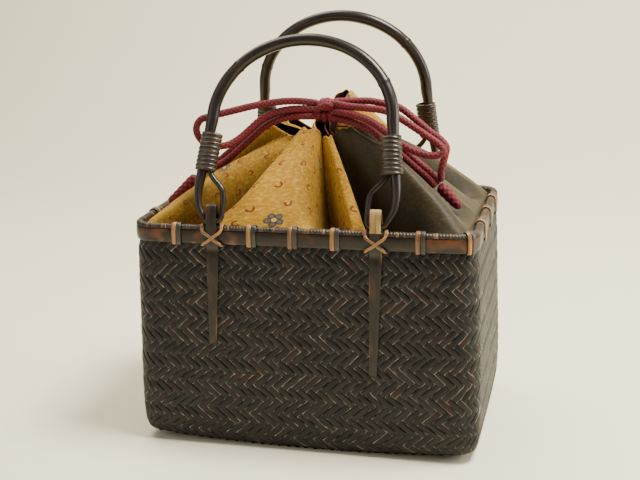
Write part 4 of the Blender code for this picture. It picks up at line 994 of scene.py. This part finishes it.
# Straps. A strip of bamboo goes through each eye, over the rim and down the face of the wall,
# and narrows to its end. It is dark with pale cut edges, and the right hand loops are yellow.
STRAP_THICK = 0.0012
STRAP_DROPS = {"front_left": 0.0830, "front_right": 0.1030, "back_left": 0.0900, "back_right": 0.0960}
strap_bamboo = bamboo_material("bamboo strap", (0.006, 0.004, 0.003), (0.034, 0.022, 0.014),
                               (0.050, 0.022, 0.012), (0.34, 0.20, 0.095), 0.8, 0.00008, 0.2)
yellow_strap = bamboo_material("yellow bamboo strap", (0.16, 0.095, 0.030), (0.78, 0.56, 0.22),
                               (0.30, 0.16, 0.07), (0.60, 0.48, 0.28), 0.6, 0.00008, 0.2)
for corner_name, drop in STRAP_DROPS.items():
    where, hand = corner_name.split("_")
    facing, side = (-1 if where == "front" else 1), (-1 if hand == "left" else 1)
    half, bar, far = STRAP_THICK / 2, 0.0035, inner_near + 0.0020
    low = BAND_FOOT - 0.0003
    rows = [(far + 0.0003 + half, BAND_TOP - 0.0180, 0.0086), (far + 0.0003 + half, BAND_TOP, 0.0086),
            (far + half - 0.0001, PIVOT_Z + 0.0010, 0.0086), (bar + 0.0033, PIVOT_Z + 0.0075, 0.0086),
            (bar + 0.0024, PIVOT_Z + 0.0112, 0.0086), (bar + 0.0009, PIVOT_Z + 0.0131, 0.0086),
            (bar - 0.0009, PIVOT_Z + 0.0131, 0.0086), (bar - 0.0024, PIVOT_Z + 0.0112, 0.0086),
            (bar - 0.0033, PIVOT_Z + 0.0075, 0.0086), (-half, PIVOT_Z - 0.0010, 0.0088),
            (-0.0003 - half, BAND_TOP, 0.0092), (-0.0003 - half, low, 0.0105)]
    end = BAND_FOOT - drop
    for height in np.linspace(low - 0.004, end, 14):
        half_d = WALL_HALF_DEPTH * np.interp(height / BAND_TOP, fine_levels, softened[2])
        rows.append((RIM_DEPTH / 2 - half_d - 0.0003 - half, height,
                     0.0105 + (0.0066 - 0.0105) * (low - height) / drop))
    line = spread_points([(inset, height, width) for inset, height, width in rows], 0.0016)
    way = np.gradient(line[:, :2], axis=0)
    way /= np.linalg.norm(way, axis=1)[:, None]
    sway = -0.0030 * np.maximum(0.0, (BAND_FOOT - line[:, 1]) / drop)
    centres = np.stack([HANDLE_MIDDLE[where] + side * BAR_HALF_SPACING + sway,
                        facing * (RIM_DEPTH / 2 - line[:, 0]), line[:, 1]], axis=-1)
    across_way = np.tile((1.0, 0.0, 0.0), (len(line), 1))
    outward = np.stack([0 * way[:, 0], facing * way[:, 1], way[:, 0]], axis=-1)
    piece = ribbon(f"strap_strip_{corner_name}", centres, across_way, outward, line[:, 2],
                   STRAP_THICK, 0.0, 0.17 * side + 0.05 * facing, 5.0, 20)
    piece.data.materials.append(strap_bamboo)
    if hand == "right":
        piece.data.materials.append(yellow_strap)
        bpy.ops.object.mode_set(mode="OBJECT")
        for face in piece.data.polygons:
            if face.center.z > RIM_HEIGHT - 0.001:
                face.material_index = 1
    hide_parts(f"strap_{corner_name}")
    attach(piece, "root")

# Crossed ties. Two thin strands of tan cane cross on the hoop over each strap and go over the rim.
CROSS_THICK = 0.0010
CROSS_REACH = 0.0082
for where, facing in (("front", -1), ("back", 1)):
    for hand, side in (("left", -1), ("right", 1)):
        strands = []
        for lean in (-1, 1):
            half, clear = CROSS_THICK / 2, 0.0003 + STRAP_THICK + CROSS_THICK / 2
            over = CROSS_THICK * 0.8 if lean > 0 else 0.0
            low, far = BAND_FOOT - 0.0003 - half, inner_near + 0.0020
            stages = [(0.0011, low, -1.0), (-clear * 0.7, low, -0.97),
                      (-clear - over * 0.5, BAND_FOOT + 0.001, -0.8),
                      (-clear - over, BAND_FOOT + 0.0035, -0.30),
                      (-clear - over, BAND_FOOT + 0.0071, 0.26),
                      (-clear - 0.0001, BAND_TOP - 0.0006, 0.88)]
            stages += [(ROLL_MIDDLE - (ROLL_WIDTH / 2 + 0.00034 + half) * math.cos(turn),
                        RIM_HEIGHT - ROLL_HEIGHT + (ROLL_HEIGHT + 0.00034 + half) * math.sin(turn), 1.0)
                       for turn in np.radians((15, 48, 80, 105, 140))]
            stages += [(far + 0.0003 + half, BAND_TOP, 1.0),
                       (far + 0.0003 + half, BAND_FOOT - 0.0003, 1.0)]
            line = spread_points([(inset, height, share * CROSS_REACH) for inset, height, share in stages],
                                 0.0008)
            centres = np.stack([HANDLE_MIDDLE[where] + side * BAR_HALF_SPACING + lean * line[:, 2],
                                facing * (RIM_DEPTH / 2 - line[:, 0]), line[:, 1]], axis=-1)
            along, _, _ = carried_frames(centres)
            way = np.gradient(line[:, :2], axis=0)
            way /= np.linalg.norm(way, axis=1)[:, None]
            outward = np.stack([0 * way[:, 0], facing * way[:, 1], way[:, 0]], axis=-1)
            across_way = np.cross(along, outward)
            across_way /= np.linalg.norm(across_way, axis=1)[:, None]
            strands.append(ribbon(f"cross_strand_{where}_{hand}_{lean}", centres, across_way, outward,
                                  0.0026, CROSS_THICK, 0.0 if lean > 0 else 0.35,
                                  0.21 * lean + 0.07 * side, 2.6, 12))
        piece = joined(f"cross_strands_{where}_{hand}", strands)
        piece.data.materials.append(tie_cane)
        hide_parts(f"cross_tie_{where}_{hand}")
        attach(piece, "root")

# Pouch. Ten folds of two thin cloths fill the basket's mouth and are gathered at the neck. The
# yellow crepe bears small red horseshoe marks and plum flowers, the olive one is plain, and both
# are lined with wine red. They are laid in the folds of the photograph, not simulated.
LINING_INSET = 0.0092
NECK_REACH = 0.0125
NECK_DROP = 0.0080
# Each fold: its start and crest round the rim, the angle, reach and height of its end at the
# neck, its bulge and cloth, the dip of the valley on its left and where along it that is deepest,
# where its left and right sides begin and end to fall, how far they overhang, and how square and
# how wide its end is.
FOLDS = (
    ("narrow_front", 0.04, 0.058, -68, 0.027, 0.254, 0.001, "print",
     0.042, 0.9, (0.22, 0.62), (0.35, 0.7), 0.001, 0.003, 4, 0.001),
    ("plain_front", 0.076, 0.152, -31, 0.033, 0.26, 0.011, "plain",
     0.06, 0.72, (0.02, 0.5), (0.25, 1), 0.002, 0.001, 4, 0.003),
    ("plain_side", 0.2, 0.25, 0, 0.036, 0.26, 0.001, "plain",
     0.016, 1, (0.15, 0.9), (0.35, 1), 0.001, 0.003, 3, 0),
    ("plain_back", 0.3, 0.336, 25, 0.034, 0.259, 0.006, "plain",
     0.018, 1, (0.35, 1), (0.35, 1), 0.003, 0.003, 3, 0),
    ("standing_back", 0.365, 0.4, 52, 0.03, 0.285, 0.004, "print",
     0.016, 1, (0.35, 1), (0.35, 1), 0.005, 0.005, 8, 0.004),
    ("wide_back", 0.44, 0.515, 95, 0.029, 0.26, 0.004, "print",
     0.018, 1, (0.35, 1), (0.35, 1), 0.004, 0.004, 3, 0),
    ("corner_back", 0.59, 0.65, 145, 0.04, 0.26, 0.006, "print",
     0.018, 1, (0.35, 1), (0.35, 1), 0.004, 0.004, 3, 0),
    ("ridge_left", 0.7, 0.755, 180, 0.048, 0.263, 0.005, "print",
     0.018, 1, (0.35, 1), (0.35, 1), 0.004, 0.003, 3, 0),
    ("roll_left", 0.795, 0.824, 209, 0.031, 0.252, 0.005, "print",
     0.02, 1, (0.4, 1), (0.7, 1), 0.003, 0.011, 5, 0.003),
    ("wide_front", 0.852, 0.95, 265, 0.025, 0.26, 0.008, "print",
     0.036, 0.9, (0.1, 1), (0.35, 0.9), 0, 0.003, 5, 0.0015),
)
lining_sizes = (RIM_WIDTH / 2 - LINING_INSET, RIM_DEPTH / 2 - LINING_INSET, RIM_CORNER - LINING_INSET)
lining_runs = runs_of(*lining_sizes)


def fold_points(index, x, t):
    """Places on a fold of the pouch: x from -1 to 1 across it, t from the rim, 0, to the neck, 1."""
    (_, start, crest, angle, reach, high, bulge, _, dip, deepest, falls_left, falls_right, over_left,
     over_right, end_flat, end_spread) = FOLDS[index]
    before, after = FOLDS[index - 1], FOLDS[(index + 1) % len(FOLDS)]
    end = after[1] + (1.0 if after[1] < start else 0.0)
    next_angle = after[3] + (360 if after[3] < angle else 0)
    last_angle = before[3] - (360 if before[3] > angle else 0)
    side_share = np.where(x < 0, start, end)
    side_angle = np.where(x < 0, (angle + last_angle) / 2, (angle + next_angle) / 2)
    share = crest + (side_share - crest) * np.abs(x)
    turn = np.radians(angle + (side_angle - angle) * np.abs(x))
    rim_x, rim_y, _, _ = plan_points(share, *lining_sizes, stops=lining_runs)
    rim = np.stack([rim_x, rim_y, 0 * rim_x + RIM_HEIGHT - ROLL_HEIGHT], axis=-1)
    begin = np.where(x < 0, falls_left[0], falls_right[0])
    finish = np.where(x < 0, falls_left[1], falls_right[1])
    fall = np.clip((np.abs(x) - begin) / (finish - begin), 0, 1)
    fall = fall * fall * (3 - 2 * fall)
    pinch = fall + (np.abs(x) ** 3 - fall) * t ** 4
    valley = np.where(x < 0, min(high, before[5]), min(high, after[5])) - NECK_DROP
    middle = NECK_REACH * np.stack([np.cos(turn), np.sin(turn)], axis=-1)
    stop = (reach - NECK_REACH) * (1 - pinch) / np.linalg.norm(rim[..., :2] - middle, axis=-1)
    neck = rim.copy()
    neck[..., :2] += (middle - rim[..., :2]) * (1 - stop)[..., None]
    neck[..., 2] = high + (valley - high) * (fall + (np.abs(x) ** end_flat - fall) * t ** 4)
    point = rim + (neck - rim) * t[..., None]
    point[..., 2] += bulge * np.sin(math.pi * np.minimum(1.0, t ** 0.85)) * (1 - pinch)
    dips = np.where(x < 0, dip, after[8])
    along = np.clip(t, 0, 1) ** np.where(x < 0, deepest, after[9])
    point[..., 2] -= dips * np.sin(math.pi * along) ** 1.2 * pinch
    inward = neck[..., :2] - rim[..., :2]
    inward /= np.linalg.norm(inward, axis=-1)[..., None]
    bow = np.abs(x) ** 1.6 * (1 - np.abs(x) ** 7) * 1.6
    lean = np.where(x < 0, -over_left, over_right) * np.sin(math.pi * np.clip(t, 0, 1) ** 0.9) ** 0.8
    lean = (lean + np.sign(x) * end_spread * np.clip(t, 0, 1) ** 4) * bow
    point[..., 0] += inward[..., 1] * lean
    point[..., 1] -= inward[..., 0] * lean
    hollow = np.maximum(pinch, np.abs(x) ** 1.3) * np.clip(dips / 0.04, 0.2, 1)
    hollow = hollow * np.clip(np.sin(math.pi * np.clip(t, 0, 1) ** 0.7), 0, 1) ** 0.6
    return point, hollow


def soft_noise(a, b, seed):
    """Smooth waves without a beat, about one high, from two cloth directions."""
    total = 0 * a
    for k in range(5):
        way = seed * 1.7 + k * 2.399
        total += np.sin(a * math.cos(way) * (1 + 0.37 * k) + b * math.sin(way) * (1 + 0.37 * k)
                        + seed * 5.1 + k)
    return total / 2.6


def cloth_piece(name, cloth):
    first = next(i for i in range(len(FOLDS)) if FOLDS[i][7] == cloth and FOLDS[i - 1][7] != cloth)
    chain = []
    for step in range(len(FOLDS)):
        if FOLDS[(first + step) % len(FOLDS)][7] != cloth:
            break
        chain.append((first + step) % len(FOLDS))
    ways = np.linspace(-1, 1, 37)
    ways = np.sign(ways) * (1 - (1 - np.abs(ways)) ** 1.35)
    climbs = np.concatenate([[0.0] * 7, np.linspace(0, 1, 72)])
    skirt = np.concatenate([np.linspace(-0.0270, -0.0030, 7), np.zeros(72)])
    blocks, hollows = [], []
    for number, index in enumerate(chain):
        x = ways if number == len(chain) - 1 else ways[:-1]
        grid_x, grid_t = np.meshgrid(x, climbs)
        points, hollow = fold_points(index, grid_x, grid_t)
        points[..., 2] += skirt[:, None]
        fold_wide = 9.0 + 3.0 * (index % 3)
        gather = 0.0011 * grid_t ** 3 * np.sin(fold_wide * grid_x + index) * (1 - np.abs(grid_x) ** 3)
        crease = 0.0010 * soft_noise(grid_x * 4.2, grid_t * 3.0, index + 1.0) * np.sin(
            math.pi * np.clip(grid_t, 0, 1)) ** 0.6 * (1 - grid_x ** 4)
        fine = soft_noise(grid_x * 14, grid_t * 17, index + 4.0)
        fine *= 0.0003 * (grid_t > 0) * (1 - grid_x ** 4)
        points[..., 2] += gather + crease + fine
        points[..., 1] -= 0.5 * crease
        blocks.append(points)
        hollows.append(hollow)
    points, hollow = np.concatenate(blocks, axis=1), np.concatenate(hollows, axis=1)
    rows, columns = points.shape[:2]
    middle_row = np.linalg.norm(np.diff(points[40], axis=0), axis=-1)
    around = np.broadcast_to(np.concatenate([[0.0], np.cumsum(middle_row)]), (rows, columns))
    run = np.concatenate([np.zeros((1, columns)),
                          np.cumsum(np.linalg.norm(np.diff(points, axis=0), axis=-1), axis=0)])

    def shape(u, v):
        row, column = np.rint(v * (rows - 1)).astype(int), np.rint(u * (columns - 1)).astype(int)
        shape.cloth = np.stack([around[row, column], run[row, column],
                                run[-1, column] - run[row, column]], axis=-1)
        shape.hollow = hollow[row, column]
        return points[row, column]

    piece = grid_piece(name, columns - 1, rows - 1, shape)
    store(piece, "cloth", shape.cloth)
    store(piece, "hollow", shape.hollow)
    soft = piece.modifiers.new("soft", "SMOOTH")
    soft.factor = 0.4
    soft.iterations = 2
    bpy.ops.object.modifier_apply(modifier="soft")
    thick = piece.modifiers.new("thick", "SOLIDIFY")
    thick.thickness = 0.0008
    thick.offset = -1.0
    thick.material_offset = 1
    thick.material_offset_rim = 0
    return piece


# Cloth: crepe with a fine crinkle and clouds of paler and deeper dye. The colour is darkened in
# the valleys between the folds, which imitates the shadow seen there in the photograph.
crepe, given, result = new_group("crepe", (
    ("Deep", "NodeSocketColor", (0.3, 0.2, 0.05, 1)), ("Body", "NodeSocketColor", (0.5, 0.35, 0.1, 1)),
    ("Pale", "NodeSocketColor", (0.7, 0.55, 0.25, 1))), (
    ("Colour", "NodeSocketColor"), ("Height", "NodeSocketFloat")))
kept = kept_value(crepe, "cloth")
crinkle = noise_node(crepe, stretched(crepe, kept.outputs["Vector"], (520.0, 900.0, 0.0)), 1.0, 4.0, 0.6)
cloud = noise_node(crepe, stretched(crepe, kept.outputs["Vector"], (260.0, 420.0, 0.0)), 1.0, 5.0, 0.65)
broad = noise_node(crepe, stretched(crepe, kept.outputs["Vector"], (28.0, 30.0, 0.0)), 1.0, 2.0)
dye = ramp_node(crepe,
                math_node(crepe, "MULTIPLY_ADD", broad, 0.5, math_node(crepe, "MULTIPLY", cloud, 0.6)),
                ((0.38, 0.0), (0.70, 1.0)))
ground = colour_mix(crepe, dye, given.outputs["Deep"], given.outputs["Body"])
fleck = ramp_node(crepe, cloud, ((0.50, 0.0), (0.72, 1.0)))
sunk = kept_value(crepe, "hollow")
ground = colour_mix(crepe, fleck, ground, given.outputs["Pale"])
link(crepe, colour_mix(crepe, math_node(crepe, "MULTIPLY", sunk.outputs["Fac"], 0.92), ground,
                       colour_mix(crepe, 0.9, ground, (0.0, 0.0, 0.0))), result.inputs["Colour"])
link(crepe, math_node(crepe, "MULTIPLY_ADD", crinkle, 0.6, math_node(crepe, "MULTIPLY", cloud, 0.5)),
     result.inputs["Height"])


def cloth_material(name, deep, body, pale, rough, depth, sheen):
    material, tree, shader = blank_material(name, rough, 0.25)
    dyed = tree.nodes.new("ShaderNodeGroup")
    dyed.node_tree = crepe
    for socket, colour in (("Deep", deep), ("Body", body), ("Pale", pale)):
        dyed.inputs[socket].default_value = (*colour, 1.0)
    link(tree, dyed.outputs["Colour"], shader.inputs["Base Color"])
    link(tree, bump_node(tree, dyed.outputs["Height"], depth, 0.8), shader.inputs["Normal"])
    shader.inputs["Sheen Weight"].default_value = sheen
    shader.inputs["Sheen Roughness"].default_value = 0.4
    return material, tree, shader, dyed


def motif_place(tree, cell_u, cell_v, shift_u, shift_v, jitter):
    """Place within the nearest cell of a cloth's lattice, in metres, and the cell's own random."""
    kept = kept_value(tree, "cloth")
    parts = tree.nodes.new("ShaderNodeSeparateXYZ")
    link(tree, kept.outputs["Vector"], parts.inputs[0])
    row = math_node(tree, "MULTIPLY_ADD", parts.outputs["Y"], 1 / cell_v, shift_v)
    row_floor = math_node(tree, "FLOOR", row)
    column = math_node(tree, "MULTIPLY_ADD", parts.outputs["X"], 1 / cell_u,
                       math_node(tree, "MULTIPLY_ADD", row_floor, 0.5, shift_u))
    column_floor = math_node(tree, "FLOOR", column)
    cell = tree.nodes.new("ShaderNodeCombineXYZ")
    link(tree, row_floor, cell.inputs[0])
    link(tree, column_floor, cell.inputs[1])
    chance = tree.nodes.new("ShaderNodeTexWhiteNoise")
    chance.noise_dimensions = "3D"
    link(tree, cell.outputs[0], chance.inputs["Vector"])
    split = tree.nodes.new("ShaderNodeSeparateColor")
    link(tree, chance.outputs["Color"], split.inputs[0])
    in_u = math_node(tree, "SUBTRACT", math_node(tree, "SUBTRACT", column, column_floor), 0.5)
    in_v = math_node(tree, "SUBTRACT", math_node(tree, "SUBTRACT", row, row_floor), 0.5)
    in_u = math_node(tree, "MULTIPLY", math_node(tree, "ADD", in_u, math_node(
        tree, "MULTIPLY_ADD", split.outputs[0], jitter, -jitter / 2)), cell_u)
    in_v = math_node(tree, "MULTIPLY", math_node(tree, "ADD", in_v, math_node(
        tree, "MULTIPLY_ADD", split.outputs[1], jitter, -jitter / 2)), cell_v)
    turn = math_node(tree, "MULTIPLY", chance.outputs["Value"], 2 * math.pi)
    cosine, sine = math_node(tree, "COSINE", turn), math_node(tree, "SINE", turn)
    across = math_node(tree, "SUBTRACT", math_node(tree, "MULTIPLY", in_u, cosine),
                       math_node(tree, "MULTIPLY", in_v, sine))
    along = math_node(tree, "ADD", math_node(tree, "MULTIPLY", in_u, sine),
                      math_node(tree, "MULTIPLY", in_v, cosine))
    return across, along


def below(tree, value, limit, soft):
    """One where a value lies below a limit, with a soft edge."""
    return ranged(tree, value, limit + soft, limit - soft, smooth=True)


def radius_of(tree, across, along):
    return math_node(tree, "SQRT", math_node(tree, "ADD", math_node(tree, "MULTIPLY", across, across),
                                             math_node(tree, "MULTIPLY", along, along)))


yellow_crepe, tree, shader, dyed = cloth_material(
    "yellow printed crepe", (0.30, 0.140, 0.008), (0.52, 0.270, 0.016), (0.62, 0.40, 0.085), 0.80,
    0.00030, 0.03)
across, along = motif_place(tree, 0.0220, 0.0190, 0.0, 0.0, 0.40)
radius = radius_of(tree, across, along)
band = math_node(tree, "ABSOLUTE", math_node(tree, "SUBTRACT", radius, 0.0021))
horseshoe = math_node(tree, "MULTIPLY", below(tree, band, 0.00070, 0.00015),
                      below(tree, along, 0.0010, 0.0002))
foot_u = math_node(tree, "SUBTRACT", math_node(tree, "ABSOLUTE", across), 0.0024)
foot = below(tree, radius_of(tree, foot_u, math_node(tree, "SUBTRACT", along, 0.0009)), 0.00062, 0.00012)
horseshoe = math_node(tree, "MAXIMUM", horseshoe, foot)
colour = colour_mix(tree, math_node(tree, "MULTIPLY", horseshoe, 0.92), dyed.outputs["Colour"],
                    (0.15, 0.016, 0.008))
across, along = motif_place(tree, 0.0960, 0.0700, 0.30, 0.0, 0.0)
radius = radius_of(tree, across, along)
turn = math_node(tree, "ARCTAN2", along, across)
turn = math_node(tree, "SUBTRACT", math_node(tree, "WRAP", turn, 2 * math.pi / 5, 0.0), math.pi / 5)
petal_u = math_node(tree, "SUBTRACT",
                    math_node(tree, "MULTIPLY", radius, math_node(tree, "COSINE", turn)), 0.0037)
petal_v = math_node(tree, "MULTIPLY", radius, math_node(tree, "SINE", turn))
petal = radius_of(tree, petal_u, petal_v)
colour = colour_mix(tree, below(tree, petal, 0.00235, 0.00015), colour, (0.055, 0.030, 0.026))
colour = colour_mix(tree, below(tree, petal, 0.00165, 0.00025), colour, (0.115, 0.105, 0.070))
colour = colour_mix(tree, below(tree, radius, 0.00150, 0.0002), colour, (0.70, 0.50, 0.10))
colour = colour_mix(tree, below(tree, radius, 0.00060, 0.0002), colour, (0.16, 0.05, 0.02))
kept = kept_value(tree, "cloth")
parts = tree.nodes.new("ShaderNodeSeparateXYZ")
link(tree, kept.outputs["Vector"], parts.inputs[0])
stitch_line = math_node(tree, "ABSOLUTE", math_node(tree, "SUBTRACT", parts.outputs["Z"], 0.0030))
stitch = math_node(tree, "PINGPONG", parts.outputs["X"], 0.0012)
stitched = math_node(tree, "MULTIPLY", below(tree, stitch_line, 0.00034, 0.0001),
                     below(tree, stitch, 0.00085, 0.0001))
link(tree, colour_mix(tree, stitched, colour, (0.22, 0.035, 0.025)), shader.inputs["Base Color"])

olive, _, shader, _ = cloth_material(
    "olive crepe", (0.022, 0.015, 0.005), (0.048, 0.032, 0.011), (0.066, 0.047, 0.018), 0.55, 0.00012,
    0.30)
shader.inputs["Sheen Tint"].default_value = (0.85, 0.75, 0.55, 1)
wine, _, _, _ = cloth_material("wine lining", (0.022, 0.004, 0.006), (0.050, 0.008, 0.012),
                               (0.08, 0.015, 0.02), 0.8, 0.0001, 0.1)

for name, cloth, node, face_material, wide in (
        ("cloth_yellow", "print", "pouch_print", yellow_crepe, 0.593),
        ("cloth_olive", "plain", "pouch_plain", olive, 0.241)):
    piece = cloth_piece(name, cloth)
    piece.data.materials.append(face_material)
    piece.data.materials.append(wine)
    bpy.ops.object.modifier_apply(modifier="thick")
    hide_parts(node)
    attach(piece, "root")

# Thread loops. A thin plaited red thread passes through the edge of each of two folds and ties it
# to the drawstring above.
THREAD_THICK = 0.0016
for name, route in (
        ("narrow_fold", ((0.0070, -0.0150, 0.2620), (0.0080, -0.0185, 0.2590), (0.0098, -0.0210, 0.2570),
                         (0.0121, -0.0234, 0.2548))),
        ("plain_fold", ((0.0112, -0.0118, 0.2622), (0.0160, -0.0130, 0.2605), (0.0215, -0.0146, 0.2604),
                        (0.0273, -0.0167, 0.2608)))):
    piece, _ = round_braid("thread_strands_" + name, route, THREAD_THICK / 2, 0.00018, 3, 0.0014,
                           sides=15, step=0.00025)
    piece.data.materials.append(red_braid)
    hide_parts("thread_loop_" + name)
    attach(piece, "root")
